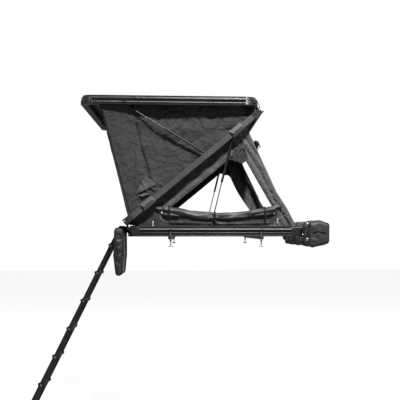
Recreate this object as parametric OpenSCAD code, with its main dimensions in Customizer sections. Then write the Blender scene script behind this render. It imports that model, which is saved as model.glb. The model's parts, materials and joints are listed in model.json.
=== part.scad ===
// Wedge-shaped hard-shell roof top tent, drawn open, in millimetres.
// Origin at the centre of the rack bolts, on the underside of the rack rails.
// +X is the fold direction, +Y runs across the fold, +Z is up.

/* [Shells] */
// Length of each shell along the fold
shell_x = 1550; // [1450:10:1650]
// Length of each shell across the fold
shell_y = 2150; // [2000:10:2300]
// Height of the shell rails
rail_h = 82; // [78:1:95]
// Depth of the shell rails
rail_t = 60; // [56:1:70]
// Wall of the rail extrusion
rail_wall = 2.5; // [2:0.1:3]
// Outer radius of the corner castings
corner_r = 105; // [95:1:130]
// How far a corner casting stands proud of the rails at the seam
corner_proud = 7; // [2:0.5:8]
// How far a corner casting draws in away from the seam
corner_draft = 14; // [4:0.5:18]
// Thickness of the floor and roof panels
panel_t = 20; // [16:1:26]
// Skin of the floor and roof panels
panel_skin = 1.2; // [1:0.1:2]

/* [Rack mount] */
// Width of a rack rail
rack_w = 40; // [35:1:60]
// Height of a rack rail
rack_h = 25; // [20:1:35]
// Spacing of the rack bolts along X
bolt_x = 800; // [600:10:900]
// Spacing of the rack bolts along Y
bolt_y = 1200; // [900:10:1500]
// Diameter of a rack bolt hole
bolt_d = 9; // [7:0.5:11]

/* [Fold] */
// Angle of the mid frame when open, in degrees
open_angle = 39.7; // [36:0.1:42]
// Height of an arm tube
arm_h = 50; // [44:1:56]
// Width of an arm tube
arm_w = 30; // [26:1:34]
// Wall of the frame tubes
arm_wall = 2.5; // [2:0.1:3]
// Gap between a closed shell and the mid frame
stack_gap = 18; // [17:0.5:24]
// Distance of a hinge pin outside the shell end
pin_out = 9; // [8.5:0.5:12]
// Height of a hinge pin past the shell edge
pin_lift = 8; // [8:0.5:9]
// Radius of a hinge pin
pin_r = 4; // [3:0.5:5]
// Length of a hinge leaf
hinge_len = 140; // [100:5:180]
// Length of the sleeve on an arm end
sleeve_len = 85; // [70:1:110]
// Length of a saddle bracket
saddle_len = 132; // [100:1:150]

/* [Gas struts] */
// Radius of a strut tube
tube_r = 10; // [9:0.5:11]
// Radius of a strut rod
rod_r = 4.5; // [3.5:0.5:5]
// Length of a strut tube from its stud
tube_len = 430; // [415:5:440]
// Radius of a strut stud
stud_r = 4; // [3:0.5:4.5]

/* [Latches] */
// Distance of each latch from the middle of its rail
latch_x = 398; // [300:1:500]
// Length of a latch from its pin to its T-bar
latch_len = 138; // [125:1:150]
// Width of a latch strap
latch_w = 16; // [12:1:20]

/* [Ladder] */
// Slope of the ladder from level, in degrees
ladder_slope = 63.7; // [58:0.1:72]
// Distance between the treads along the stiles
tread_pitch = 290; // [280:1:310]
// Distance from the pivot rod to the first tread
first_tread = 187; // [180:1:210]
// Half the distance between the stiles
stile_half = 190; // [170:1:210]
// Outer radius of the thinnest stile
stile_r = 14; // [12:0.5:16]
// Wall of a stile tube
stile_wall = 1.2; // [1:0.1:1.6]

/* [Soft goods] */
// Thickness of the wall fabric with its quilting
wall_t = 4; // [3:0.5:5]
// Thickness of the mattress
mattress_t = 60; // [45:1:60]
// Radius of a rolled window cover
roll_r = 30; // [22:1:31]
// Height of the side bag
side_bag_h = 198; // [160:2:220]
// Depth of the side bag
side_bag_d = 179; // [140:1:200]

/* [Hidden] */
$fn = 48;
fit = 0.05;
clear = 0.4;
hx = shell_x / 2;
hy = shell_y / 2;
zb = rack_h + rail_h;
zt_closed = zb + 2 * stack_gap + arm_h;
pin_x = hx + pin_out;
pin_lo = [-pin_x, 0, zb + pin_lift];
pin_hi_closed = [pin_x, 0, zt_closed - pin_lift];

// A point turned by an angle from +X towards +Z
function turned(p, a) = [p.x * cos(a) - p.z * sin(a), p.y, p.x * sin(a) + p.z * cos(a)];
// A point of the open mid frame, u along the arm and v up from the lower pin
function on_arm(u, v) = pin_lo + turned([u, 0, v], open_angle);

frame_span = pin_hi_closed - pin_lo;
top_shift = pin_lo + turned(frame_span, open_angle) - pin_hi_closed;
zt = zt_closed + top_shift.z;
roof_low = rail_h - panel_t - 4;
floor_top = rack_h + panel_t;

// Mid frame stations along u, and heights in v
arm_u0 = pin_out;
arm_u1 = frame_span.x - pin_out;
arm_v = stack_gap - pin_lift;
arm_y = hy - arm_w - 5;
bar_w = 50;
track_y = hy - 90;
track_w = 12;
track_v = arm_v + 5;
spread_u = arm_u1 - bar_w - 125;
spread_w = 20;

// Gas strut layer and the stud places, measured from the pins of the closed fold
layer_y = arm_y - 22;
layer_w = 18;
eye_r = 9;
low_arm = [1237, 0, 24];
low_base = [744, 0, 14];
high_arm = [946, 0, 48];
high_top = [-1128, 0, -14];
low_open = turned(low_base, -open_angle) - low_arm;
high_open = frame_span + turned(high_top, -open_angle) - high_arm;
rod_inside = 40;

// Ladder stations down the stiles, and how each tube nests in the next
sections = 6;
nest = stile_wall + 0.35;
overlap = 45;
last_len = 300;
ladder_x = -hx - 102;
ladder_y = -300;
rod_pivot_r = 8;
function tread_at(k) = first_tread + tread_pitch * (k - 1);
function stile_at(k) = stile_r + nest * k;

// Places a piece drawn in the mid frame's own u, y, v directions
module on_frame() {
    translate(pin_lo) rotate([0, -open_angle, 0]) children();
}

// Places a piece drawn about the middle of a shell's underside
module on_base() {
    translate([0, 0, rack_h]) children();
}
module on_top() {
    translate([top_shift.x, 0, zt]) children();
}

// Repeats a piece on the far and the near side
module both_sides() {
    children();
    mirror([0, 1, 0]) children();
}
module both_ends() {
    children();
    mirror([1, 0, 0]) children();
}

// A bar along Y between two stations, round or square in section
module rod_y(r, y0, y1) {
    translate([0, y1, 0]) rotate([90, 0, 0]) cylinder(r = r, h = y1 - y0);
}
module rod_x(r, len) {
    translate([-len / 2, 0, 0]) rotate([0, 90, 0]) cylinder(r = r, h = len);
}
module block(x, y, z) {
    translate([x[0], y[0], z[0]]) cube([x[1] - x[0], y[1] - y[0], z[1] - z[0]]);
}
module rounded_rect(x, y, r) {
    square([x - 2 * r, y], center = true);
    square([x, y - 2 * r], center = true);
    for (i = [-1, 1], j = [-1, 1]) translate([i * (x / 2 - r), j * (y / 2 - r)]) circle(r);
}

// Section of a shell rail: lip, accessory channel, drip groove and hollow chambers
lip_r = 10;
lip_z = rail_h - 22;
flange_back = 14;
channel_mouth = 8;
channel_deep = 10;
channel_z = lip_z - lip_r - 7;
groove_z = 14;
groove_h = 5;
module rail_section() {
    core = rail_t - flange_back - rail_wall;
    difference() {
        union() {
            square([rail_t, lip_z - lip_r]);
            square([rail_t - lip_r, lip_z + lip_r]);
            square([rail_t - flange_back, rail_h]);
            translate([rail_t - lip_r, lip_z]) circle(lip_r);
        }
        translate([rail_wall, rail_wall]) square([core - rail_wall, rail_h - 2 * rail_wall]);
        translate([rail_t - lip_r, lip_z]) circle(lip_r - rail_wall);
        translate([rail_t - channel_deep, channel_z - channel_mouth / 2])
            square([channel_deep, channel_mouth]);
        translate([rail_t - channel_deep, channel_z - channel_mouth / 2 - 3])
            square([channel_deep - rail_wall, channel_mouth + 6]);
        translate([rail_t - groove_h, groove_z]) square([groove_h, groove_h]);
        translate([core + rail_wall, rail_wall])
            square([rail_t - core - 2 * rail_wall, groove_z - 2 * rail_wall]);
    }
}
module side_rails() {
    len = shell_x - 2 * corner_r;
    both_sides() translate([-len / 2, hy - rail_t, 0]) rotate([90, 0, 90])
        linear_extrude(len) rail_section();
}
module end_rails() {
    len = shell_y - 2 * corner_r;
    both_ends() translate([hx - rail_t, len / 2, 0]) rotate([90, 0, 0])
        linear_extrude(len) rail_section();
}

// Corner casting: drafted shell with a rounded edge, flared towards the seam
edge_r = 10;
cast_wall = 4;
module corner_section(inset) {
    r0 = corner_r - rail_t + inset;
    r1 = corner_r + corner_proud - inset;
    top = rail_h - inset;
    arc = [for (a = [0 : 18 : 90]) [r1 - edge_r + edge_r * cos(a), top - edge_r + edge_r * sin(a)]];
    polygon(concat([[r0, inset], [r1 - corner_proud - corner_draft, inset]], arc, [[r0, top]]));
}
module corners() {
    both_ends() both_sides() translate([hx - corner_r, hy - corner_r, 0])
        rotate_extrude(angle = 90) difference() {
            corner_section(0);
            corner_section(cast_wall);
        }
}

// Hollow-core panel between the rails, with its cells along Y
panel_x = shell_x - 2 * rail_t;
panel_y = shell_y - 2 * rail_t;
panel_corner = corner_r - rail_t + 10;
cells = 9;
module hollow_panel() {
    web = 3;
    cell_x = (panel_x - 2 * panel_corner - (cells - 1) * web) / cells;
    cell_y = panel_y - 2 * panel_corner;
    difference() {
        linear_extrude(panel_t) rounded_rect(panel_x, panel_y, panel_corner);
        for (i = [0 : cells - 1])
            translate([-panel_x / 2 + panel_corner + i * (cell_x + web), -cell_y / 2, panel_skin])
                cube([cell_x, cell_y, panel_t - 2 * panel_skin]);
        both_ends() translate([panel_x / 2 - panel_corner + web, -cell_y / 2, panel_skin])
            cube([panel_corner - 2 * web, cell_y, panel_t - 2 * panel_skin]);
        both_sides() translate([-panel_x / 2 + panel_corner, cell_y / 2 + web, panel_skin])
            cube([panel_x - 2 * panel_corner, panel_corner - 2 * web, panel_t - 2 * panel_skin]);
    }
}

// Base tray
module base_side_rails() color("dimgray") on_base() side_rails();
module base_end_rails() color("dimgray") on_base() end_rails();
module base_corners() color("gray") on_base() corners();
module floor_panel() color("silver") on_base() hollow_panel();

module rack_rails() {
    wall = 2.5;
    color("silver") for (s = [-1, 1]) translate([s * bolt_x / 2, 0, 0]) difference() {
        block([-rack_w / 2, rack_w / 2], [-hy, hy], [0, rack_h]);
        block([-rack_w / 2 + wall, rack_w / 2 - wall], [-hy - 1, hy + 1], [wall, rack_h - wall]);
        for (t = [-1, 1]) translate([0, t * bolt_y / 2, -1]) cylinder(d = bolt_d, h = wall + 2);
    }
}

// Pillow with a crown, sewn channels and sides drawn in between the corners
mattress_x = shell_x - 2 * rail_t - 120;
mattress_y = shell_y - 2 * rail_t - 90;
module mattress() {
    nx = 16;
    ny = 22;
    channels = 6;
    stitch = 9;
    band_low = 0.35;
    band_high = 0.55;
    function side(a) = 1 - pow(abs(a), 6);
    function place(i, j, up) =
        let (a = 2 * i / nx - 1, b = 2 * j / ny - 1, edge = side(a) * side(b))
        let (inner = pow(edge, 0.35), sewn = pow(abs(cos(90 * channels * b)), 8) * inner)
        let (high = mattress_t * (band_high + (1 - band_high) * inner) - stitch * sewn)
        let (low = band_low * mattress_t * (1 - inner))
        [a * mattress_x / 2 * (1 - 0.012 * (1 - b * b)), b * mattress_y / 2 * (1 - 0.008 * (1 - a * a)),
            floor_top + (up ? high : low)];
    upper = [for (j = [0 : ny], i = [0 : nx]) place(i, j, true)];
    lower = [for (j = [0 : ny], i = [0 : nx]) place(i, j, false)];
    color("darkslategray") closed_sheet(upper, lower, nx, ny);
}

// A closed solid between two grids of points
module closed_sheet(front, back, nu, nv) {
    row = nu + 1;
    n = len(front);
    function quad(a, b, c, d) = [[a, b, c], [a, c, d]];
    function front_at(i, j) = j * row + i;
    function back_at(i, j) = n + front_at(i, j);
    front_faces = [for (j = [0 : nv - 1], i = [0 : nu - 1])
        each quad(front_at(i, j), front_at(i, j + 1), front_at(i + 1, j + 1), front_at(i + 1, j))];
    back_faces = [for (j = [0 : nv - 1], i = [0 : nu - 1])
        each quad(back_at(i, j), back_at(i + 1, j), back_at(i + 1, j + 1), back_at(i, j + 1))];
    rims = concat(
        [for (i = [0 : nu - 1], e = [0, 1]) let (j = e * nv, p = i + e, q = i + 1 - e)
            each quad(front_at(q, j), back_at(q, j), back_at(p, j), front_at(p, j))],
        [for (j = [0 : nv - 1], e = [0, 1]) let (i = e * nu, p = j + e, q = j + 1 - e)
            each quad(front_at(i, p), back_at(i, p), back_at(i, q), front_at(i, q))]);
    polyhedron(points = concat(front, back), faces = concat(front_faces, back_faces, rims));
}

// A closed solid between two rings of points that run round an opening
module closed_ring(front, back, around, deep) {
    n = len(front);
    function at(i, k) = k * around + (i % around);
    function quad(a, b, c, d) = [[a, b, c], [a, c, d]];
    skin = [for (k = [0 : deep - 1], i = [0 : around - 1])
        each quad(at(i, k), at(i + 1, k), at(i + 1, k + 1), at(i, k + 1))];
    inner = [for (k = [0 : deep - 1], i = [0 : around - 1])
        each quad(n + at(i, k), n + at(i, k + 1), n + at(i + 1, k + 1), n + at(i + 1, k))];
    outer_rim = [for (i = [0 : around - 1])
        each quad(at(i + 1, 0), at(i, 0), n + at(i, 0), n + at(i + 1, 0))];
    inner_rim = [for (i = [0 : around - 1])
        each quad(at(i, deep), at(i + 1, deep), n + at(i + 1, deep), n + at(i, deep))];
    polyhedron(points = concat(front, back), faces = concat(skin, inner, outer_rim, inner_rim));
}

// Where a ray from the middle of a convex outline leaves it
function ray_hit(mid, a, outline) =
    let (d = [cos(a), sin(a)], n = len(outline))
    min([for (i = [0 : n - 1])
        let (p = outline[i] - mid, e = outline[(i + 1) % n] - outline[i], c = d.x * e.y - d.y * e.x)
        if (abs(c) > 0.001) let (t = (p.x * e.y - p.y * e.x) / c, s = (p.x * d.y - p.y * d.x) / c)
        if (t > 0 && s > -0.001 && s < 1.001) t]);
function direction(p) = let (a = atan2(p.y, p.x)) a < 0 ? a + 360 : a;
function sorted(v) = len(v) < 2 ? v : let (m = v[floor(len(v) / 2)]) concat(
    sorted([for (x = v) if (x < m) x]), [for (x = v) if (x == m) x], sorted([for (x = v) if (x > m) x]));
// Rays through every corner of two outlines, with the stretches between them divided
function rays(mid, outer, inner, step) =
    let (keys = sorted([for (p = concat(outer, inner)) direction(p - mid)]), n = len(keys))
    [for (i = [0 : n - 1])
        let (a = keys[i], b = i + 1 < n ? keys[i + 1] : keys[0] + 360, m = max(1, ceil((b - a) / step)))
        if (b - a > 0.2) for (k = [0 : m - 1]) a + (b - a) * k / m];
// A convex outline with its corners rounded by arcs
function rounded_outline(points, r, steps) =
    [for (i = [0 : len(points) - 1])
        let (n = len(points), p = points[i], a = points[(i + n - 1) % n] - p, b = points[(i + 1) % n] - p)
        let (ua = a / norm(a), ub = b / norm(b), half = acos(ua * ub) / 2, bis = (ua + ub) / norm(ua + ub))
        let (c = p + bis * r / sin(half), t0 = p + ua * r / tan(half), t1 = p + ub * r / tan(half))
        for (k = [0 : steps]) let (w = t0 + (t1 - t0) * k / steps - c) c + w / norm(w) * r];
function mean(points) = [for (i = [0 : 1]) let (v = [for (p = points) p[i]]) v * [for (p = v) 1] / len(v)];
function rings(outer, inner, turns, deep) =
    let (mid = mean(inner))
    [for (k = [0 : deep], a = turns)
        let (t = ray_hit(mid, a, outer) * (1 - k / deep) + ray_hit(mid, a, inner) * k / deep)
        mid + t * [cos(a), sin(a)]];

// Rubber bulb on the flange of the base rails
seal_h = 12;
seal_w = 14;
seal_in = 25;
module base_seal() {
    x = shell_x - 2 * seal_in;
    y = shell_y - 2 * seal_in;
    r = corner_r - seal_in;
    color("black") translate([0, 0, zb]) linear_extrude(seal_h) difference() {
        rounded_rect(x + seal_w, y + seal_w, r + seal_w / 2);
        rounded_rect(x - seal_w, y - seal_w, r - seal_w / 2);
    }
}

// Leaf hinges, drawn about their pin, which lies along Y
hinge_r = 7;
knuckles = 5;
leaf_t = 3;
hinge_places = [-880 / 1075 * hy, 0, 880 / 1075 * hy];
module knuckle_row(first) {
    pitch = hinge_len / knuckles;
    for (i = [first : 2 : knuckles - 1]) {
        y0 = -hinge_len / 2 + i * pitch + clear / 2;
        y1 = y0 + pitch - clear;
        rod_y(hinge_r, y0, y1);
        block([0, pin_out], [y0, y1], [-12, -2]);
    }
}
module leaf(first, len) {
    difference() {
        union() {
            knuckle_row(first);
            block([pin_out - leaf_t, pin_out], [-hinge_len / 2, hinge_len / 2], [-len, -hinge_r - 1]);
        }
        rod_y(pin_r + fit, -hinge_len, hinge_len);
    }
}
module hinge_row(len, first) {
    for (y = hinge_places) translate([0, y, 0]) leaf(first, len);
}
module pin_row() {
    for (y = hinge_places) translate([0, y, 0]) rod_y(pin_r, -hinge_len / 2, hinge_len / 2);
}
module base_hinge_leaves() color("dimgray") translate(pin_lo) hinge_row(45, 0);
module base_hinge_pins() color("silver") translate(pin_lo) pin_row();
module frame_hinge_leaves() color("dimgray") on_frame() {
    mirror([0, 0, 1]) hinge_row(arm_h, 1);
    translate(frame_span) mirror([1, 0, 0]) hinge_row(arm_h, 1);
}
module top_hinge_leaves() color("dimgray") on_top()
    translate([pin_x, 0, -pin_lift]) rotate([0, 180, 0]) hinge_row(45, 0);
module top_hinge_pins() color("silver") on_top() translate([pin_x, 0, -pin_lift]) pin_row();

// Latches: plate and ears on the base rail, swinging strap, keeper hook on the top rail
latch_z = lip_z - 5;
latch_off = 11;
latch_pin_r = 3;
latch_pin = [latch_x, -hy - latch_off, rack_h + latch_z];
module latch_bracket() {
    ear = latch_w / 2 + 4;
    difference() {
        union() {
            block([-ear - 4, ear + 4], [latch_off - 3, latch_off], [-32, lip_r]);
            for (s = [-1, 1]) translate([s * (ear - 1), 0, 0]) {
                rod_x(6, 4);
                block([-2, 2], [0, latch_off], [-6, 6]);
            }
        }
        rod_x(latch_pin_r, 2 * ear + 12);
    }
    rod_x(latch_pin_r, 2 * ear + 2);
}
module latch_brackets() color("black")
    both_sides() both_ends() translate(latch_pin) latch_bracket();
module latch() {
    neck = latch_len * 0.78;
    difference() {
        union() {
            rod_x(7, latch_w + 1);
            block([-latch_w / 2, latch_w / 2], [-2, 2], [-neck, 0]);
            translate([0, 0, -neck]) rotate([90, 0, 0]) translate([0, 0, -2])
                cylinder(r = latch_w / 2, h = 4);
            block([-4, 4], [-2, 2], [-latch_len, -neck]);
            translate([0, 0, -latch_len]) rod_x(4, 2 * latch_w);
        }
        rod_x(latch_pin_r + fit, latch_w + 10);
        translate([0, 0, -neck]) rotate([90, 0, 0]) translate([0, 0, -5]) cylinder(r = 4.5, h = 10);
    }
}
module latch_near_left() color("silver") mirror([1, 0, 0]) translate(latch_pin) latch();
module latch_near_right() color("silver") translate(latch_pin) latch();
module latch_far_left() color("silver") mirror([0, 1, 0]) mirror([1, 0, 0]) translate(latch_pin) latch();
module latch_far_right() color("silver") mirror([0, 1, 0]) translate(latch_pin) latch();

keeper_w = 2 * latch_w;
keeper_z = latch_z + latch_len + rack_h - zt_closed;
module latch_keepers() color("black") on_top() both_sides() both_ends()
    translate([latch_x, -hy, keeper_z]) for (s = [-1, 1]) translate([s * (keeper_w / 2 - 4), 0, 0]) {
        block([-3, 3], [-3, 0], [-16, 10]);
        block([-3, 3], [-latch_off - 8, 0], [4.6, 8]);
        block([-3, 3], [-latch_off - 8, -latch_off - 5], [-2, 8]);
    }

// Gas strut studs and their plates
plate_t = 6;
plate_y = hy - rail_t - plate_t;
module strut_plate(low, high) {
    block([-28, 28], [plate_y, plate_y + plate_t], [low, high]);
    rod_y(stud_r, plate_y + plate_t - 1, layer_y - 1);
}
module base_strut_mounts() color("black")
    both_sides() translate(pin_lo + low_base) strut_plate(-low_base.z - pin_lift - 45, 12);
module top_strut_mounts() color("black") on_top()
    both_sides() translate([pin_x, 0, -pin_lift] + high_top) strut_plate(-12, -high_top.z + pin_lift + 45);
module frame_strut_studs() color("silver") on_frame() both_sides() {
    translate(low_arm) rod_y(stud_r, layer_y + 1, arm_y);
    translate(high_arm) rod_y(stud_r, layer_y + 1, arm_y);
}

// A strut drawn along +X from its stud on the arm
module strut_tube() {
    difference() {
        union() {
            rod_y(eye_r, layer_y, layer_y + layer_w);
            translate([0, layer_y + layer_w / 2, 0]) rotate([0, 90, 0]) cylinder(r = 6, h = 20);
            translate([16, layer_y + layer_w / 2, 0]) rotate([0, 90, 0])
                cylinder(r = tube_r, h = tube_len - 16);
        }
        rod_y(stud_r + fit, layer_y - 1, layer_y + layer_w + 1);
        translate([24, layer_y + layer_w / 2, 0]) rotate([0, 90, 0])
            cylinder(r = rod_r + fit, h = tube_len);
    }
}
module strut_rod(len) {
    tip = tube_len - rod_inside;
    difference() {
        union() {
            translate([len, 0, 0]) rod_y(eye_r, layer_y, layer_y + layer_w);
            translate([tip, layer_y + layer_w / 2, 0]) rotate([0, 90, 0])
                cylinder(r = rod_r, h = len - tip);
        }
        translate([len, 0, 0]) rod_y(stud_r + fit, layer_y - 1, layer_y + layer_w + 1);
    }
}
module along(stud, reach) {
    on_frame() translate(stud) rotate([0, -atan2(reach.z, reach.x), 0]) children();
}
module near() {
    mirror([0, 1, 0]) children();
}
module lower_strut_tube_far() color("black") along(low_arm, low_open) strut_tube();
module lower_strut_rod_far() color("silver") along(low_arm, low_open) strut_rod(norm(low_open));
module lower_strut_tube_near() near() lower_strut_tube_far();
module lower_strut_rod_near() near() lower_strut_rod_far();
module upper_strut_tube_far() color("black") along(high_arm, high_open) strut_tube();
module upper_strut_rod_far() color("silver") along(high_arm, high_open) strut_rod(norm(high_open));
module upper_strut_tube_near() near() upper_strut_tube_far();
module upper_strut_rod_near() near() upper_strut_rod_far();

// Mid frame
module hollow_bar(x, y, z, open) {
    w = arm_wall;
    difference() {
        block(x, y, z);
        if (open == "x") block([x[0] - 1, x[1] + 1], [y[0] + w, y[1] - w], [z[0] + w, z[1] - w]);
        else block([x[0] + w, x[1] - w], [y[0] - 1, y[1] + 1], [z[0] + w, z[1] - w]);
    }
}
module arm() {
    hollow_bar([arm_u0, arm_u1], [arm_y, arm_y + arm_w], [arm_v, arm_v + arm_h], "x");
}
module arm_far() color("gray") on_frame() arm();
module arm_near() color("gray") on_frame() near() arm();
module frame_crossbars() color("gray") on_frame() {
    hollow_bar([arm_u0, arm_u0 + bar_w], [-arm_y, arm_y], [arm_v, arm_v + arm_h], "y");
    hollow_bar([arm_u1 - bar_w, arm_u1], [-arm_y, arm_y], [arm_v, arm_v + arm_h], "y");
}
// Cover on an arm end, open towards the crossbar, with a recess and a closed end
sleeve_t = 3;
module sleeve() {
    out = arm_y + arm_w;
    difference() {
        block([-sleeve_t - 1, sleeve_len], [arm_y, out + sleeve_t],
            [arm_v - sleeve_t, arm_v + arm_h + sleeve_t]);
        block([0, sleeve_len + 1], [arm_y - 1, out], [arm_v, arm_v + arm_h]);
        block([16, sleeve_len - 14], [out + sleeve_t - 1.2, out + sleeve_t + 1],
            [arm_v + 11, arm_v + arm_h - 11]);
    }
}
module frame_end_sleeves() color("black") on_frame() both_sides() {
    translate([arm_u0, 0, 0]) sleeve();
    translate([arm_u1, 0, 0]) mirror([1, 0, 0]) sleeve();
}
// Faceted saddle over an arm, with a ridge along its outer face
saddle_at = [272, 1285];
saddle_ridge = 22;
saddle_lap = 9;
module saddle() {
    out = arm_y + arm_w;
    mid = arm_v + arm_h / 2;
    rise = arm_h / 2 + saddle_lap;
    outline = [
        [out, mid - rise], [out + 5, mid - rise], [out + saddle_ridge, mid - 3],
        [out + saddle_ridge, mid + 4], [out + 8, mid + rise], [out, mid + rise]
    ];
    translate([-saddle_len / 2, 0, 0]) difference() {
        union() {
            rotate([90, 0, 90]) linear_extrude(saddle_len) polygon(outline);
            for (v = [arm_v - 4, arm_v + arm_h])
                block([12, saddle_len - 12], [out - 18, out + 1], [v, v + 4]);
        }
        for (e = [0, saddle_len]) translate([e, out + saddle_ridge, mid]) rotate([0, 0, 45])
            cube([saddle_ridge, saddle_ridge, arm_h * 2], center = true);
    }
}
module saddle_brackets() color("gray") on_frame() both_sides()
    for (u = saddle_at) translate([u, 0, 0]) saddle();
module saddle_bolts() color("silver") on_frame() both_sides() for (u = saddle_at)
    translate([u - saddle_len / 2 + 26, arm_y + arm_w + saddle_ridge + 6, arm_v + arm_h / 2])
        rotate([90, 0, 0]) cylinder(r = 8, h = 6, $fn = 6);

// Tracks that the walls hang from, with a spreader bar across them
module fabric_tracks() color("dimgray") on_frame() {
    both_sides() block([arm_u0 + bar_w, arm_u1 - bar_w], [track_y - track_w / 2, track_y + track_w / 2],
        [track_v, track_v + track_w]);
    block([spread_u, spread_u + spread_w], [-track_y + track_w / 2, track_y - track_w / 2],
        [track_v, track_v + track_w]);
}
module end_soffit() color("black") on_frame()
    block([spread_u + spread_w, arm_u1 - bar_w], [-track_y + track_w / 2, track_y - track_w / 2],
        [track_v + 4, track_v + 7]);

// Upper side wall: from the track up to the roof panel, with pleats that fan from its upper left
wall_in = 157;
roof_z = zt + roof_low - clear;
module upper_wall() {
    nu = 22;
    nv = 14;
    low0 = on_arm(arm_u0 + bar_w + 12, track_v + track_w);
    low1 = on_arm(arm_u1 - bar_w - 6, track_v + track_w);
    high0 = [top_shift.x - hx + wall_in, 0, roof_z];
    high1 = [low1.x - 110, 0, roof_z];
    function slack(s, t) = sin(180 * s) * sin(180 * t);
    function pleat(s, t) = 7 * cos(360 * 5 * atan2(1.02 - t, s + 0.12) / 90);
    function place(i, j, off) =
        let (s = i / nu, t = j / nv, low = low0 * (1 - s) + low1 * s, high = high0 * (1 - s) + high1 * s)
        let (p = low * (1 - t) + high * t)
        [p.x, track_y + off + slack(s, t) * (pleat(s, t) + 4), p.z];
    outer = [for (j = [0 : nv], i = [0 : nu]) place(i, j, wall_t / 2)];
    inner = [for (j = [0 : nv], i = [0 : nu]) place(i, j, -wall_t / 2)];
    closed_sheet(inner, outer, nu, nv);
}
module upper_walls() color("darkslategray") both_sides() upper_wall();

// Entrance wall: from the lower crossbar up to the roof panel
module entrance_wall() {
    nu = 20;
    nv = 8;
    y1 = track_y - wall_t / 2 - clear;
    low = on_arm(arm_u0 + bar_w + 0.1, arm_v + arm_h * 0.64);
    high = [top_shift.x - hx + wall_in, 0, roof_z];
    function fold(s, t) = 7 * cos(360 * 4 * s) * sin(180 * t) * sin(180 * s);
    function place(i, j, off) =
        let (s = i / nu, t = j / nv, p = low * (1 - t) + high * t)
        [p.x + off + fold(s, t), y1 * (2 * s - 1), p.z];
    outer = [for (j = [0 : nv], i = [0 : nu]) place(i, j, 0)];
    inner = [for (j = [0 : nv], i = [0 : nu]) place(i, j, wall_t)];
    color("darkslategray") closed_sheet(outer, inner, nu, nv);
}

// Lower side wall: from the floor up to the track, with a rounded triangular window
sill = zb + 46;
wall_foot_left = -panel_x / 2 + 30;
wall_foot_right = panel_x / 2 - 15;
low_wall_left = on_arm(arm_u0 + bar_w + 16, track_v - clear);
low_wall_right = on_arm(spread_u, track_v - clear);
window_drop = 150;
window_corner = 45;
// Slope of the window edge beside the right end, per unit of height
window_lean = 0.575;
window_left = on_arm(0, arm_v + arm_h / 2 - window_drop).x
    + (sill - on_arm(0, arm_v + arm_h / 2 - window_drop).z) / tan(open_angle);
window_right = wall_foot_right - 95;
window_top = sill + (window_right - window_left) / (1 / tan(open_angle) + window_lean);
window_peak = [window_right - window_lean * (window_top - sill), window_top];
window_corners = [[window_left, sill], [window_right, sill], window_peak];
module lower_wall() {
    outer = [
        [wall_foot_left, floor_top], [wall_foot_right, floor_top],
        [low_wall_right.x, low_wall_right.z], [low_wall_left.x, low_wall_left.z]
    ];
    inner = rounded_outline(window_corners, window_corner, 4);
    turns = rays(mean(inner), outer, inner, 9);
    deep = 3;
    flat = rings(outer, inner, turns, deep);
    around = len(turns);
    function fold(k, a) = 8 * sin(180 * k / deep) * cos(11 * a);
    function place(n, off) =
        let (k = floor(n / around), p = flat[n]) [p.x, track_y + off + fold(k, turns[n % around]), p.y];
    front = [for (n = [0 : len(flat) - 1]) place(n, -wall_t / 2)];
    back = [for (n = [0 : len(flat) - 1]) place(n, wall_t / 2)];
    closed_ring(back, front, around, deep);
}
module lower_walls() color("darkslategray") both_sides() lower_wall();

// Rolled cover that lies on a sill: a tube with wrapped folds that sags between its ends
module roll(len, sag, r) {
    sides = 12;
    steps = 20;
    function ring(k) =
        let (s = 2 * k / steps - 1, ease = sqrt(max(0, 1 - pow(abs(s), 14))))
        let (wide = r * (0.45 + 0.5 * ease) * (1 + 0.05 * cos(1450 * s)))
        [for (i = [0 : sides - 1]) let (a = 360 * i / sides)
            [s * len / 2, wide * cos(a), wide * sin(a) + sag * s * s]];
    points = [for (k = [0 : steps]) each ring(k)];
    n = len(points);
    tube = [for (k = [0 : steps - 1], i = [0 : sides - 1])
        let (a = k * sides + i, b = k * sides + (i + 1) % sides)
        each [[a, a + sides, b + sides], [a, b + sides, b]]];
    caps = concat([[for (i = [0 : sides - 1]) i]], [[for (i = [0 : sides - 1]) n - 1 - i]]);
    polyhedron(points = points, faces = concat(tube, caps));
}
roll_from_left = 145;
roll_from_right = 80;
roll_sag = 34;
roll_len = window_right - window_left - roll_from_left - roll_from_right;
module window_rolls() color("black") both_sides()
    translate([window_left + roll_from_left + roll_len / 2, track_y, sill + roll_r])
        roll(roll_len, roll_sag, roll_r);

// Right end wall, leaning in from the floor to the spreader bar, with a wide window
right_half = track_y - wall_t / 2 - 8 - clear;
end_window_in = 95;
end_rise = low_wall_right.z - zb;
end_window = [end_window_in, zb + 0.124 * end_rise, zb + 0.786 * end_rise];
module right_wall() {
    y1 = right_half;
    top = low_wall_right.z;
    outer = [[-y1, floor_top], [y1, floor_top], [y1, top], [-y1, top]];
    y2 = y1 - end_window[0];
    corners = [[-y2, end_window[1]], [y2, end_window[1]], [y2, end_window[2]], [-y2, end_window[2]]];
    inner = rounded_outline(corners, 70, 3);
    turns = rays(mean(inner), outer, inner, 9);
    deep = 2;
    flat = rings(outer, inner, turns, deep);
    around = len(turns);
    slope = (low_wall_right.x - wall_foot_right) / (top - floor_top);
    function fold(k, a) = k == 1 ? 6 * cos(13 * a) : 0;
    function place(n, off) =
        let (k = floor(n / around), p = flat[n])
        [wall_foot_right + (p.y - floor_top) * slope + off + fold(k, turns[n % around]), p.x, p.y];
    front = [for (n = [0 : len(flat) - 1]) place(n, wall_t / 2)];
    back = [for (n = [0 : len(flat) - 1]) place(n, -wall_t / 2)];
    color("darkslategray") closed_ring(front, back, around, deep);
}
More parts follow.
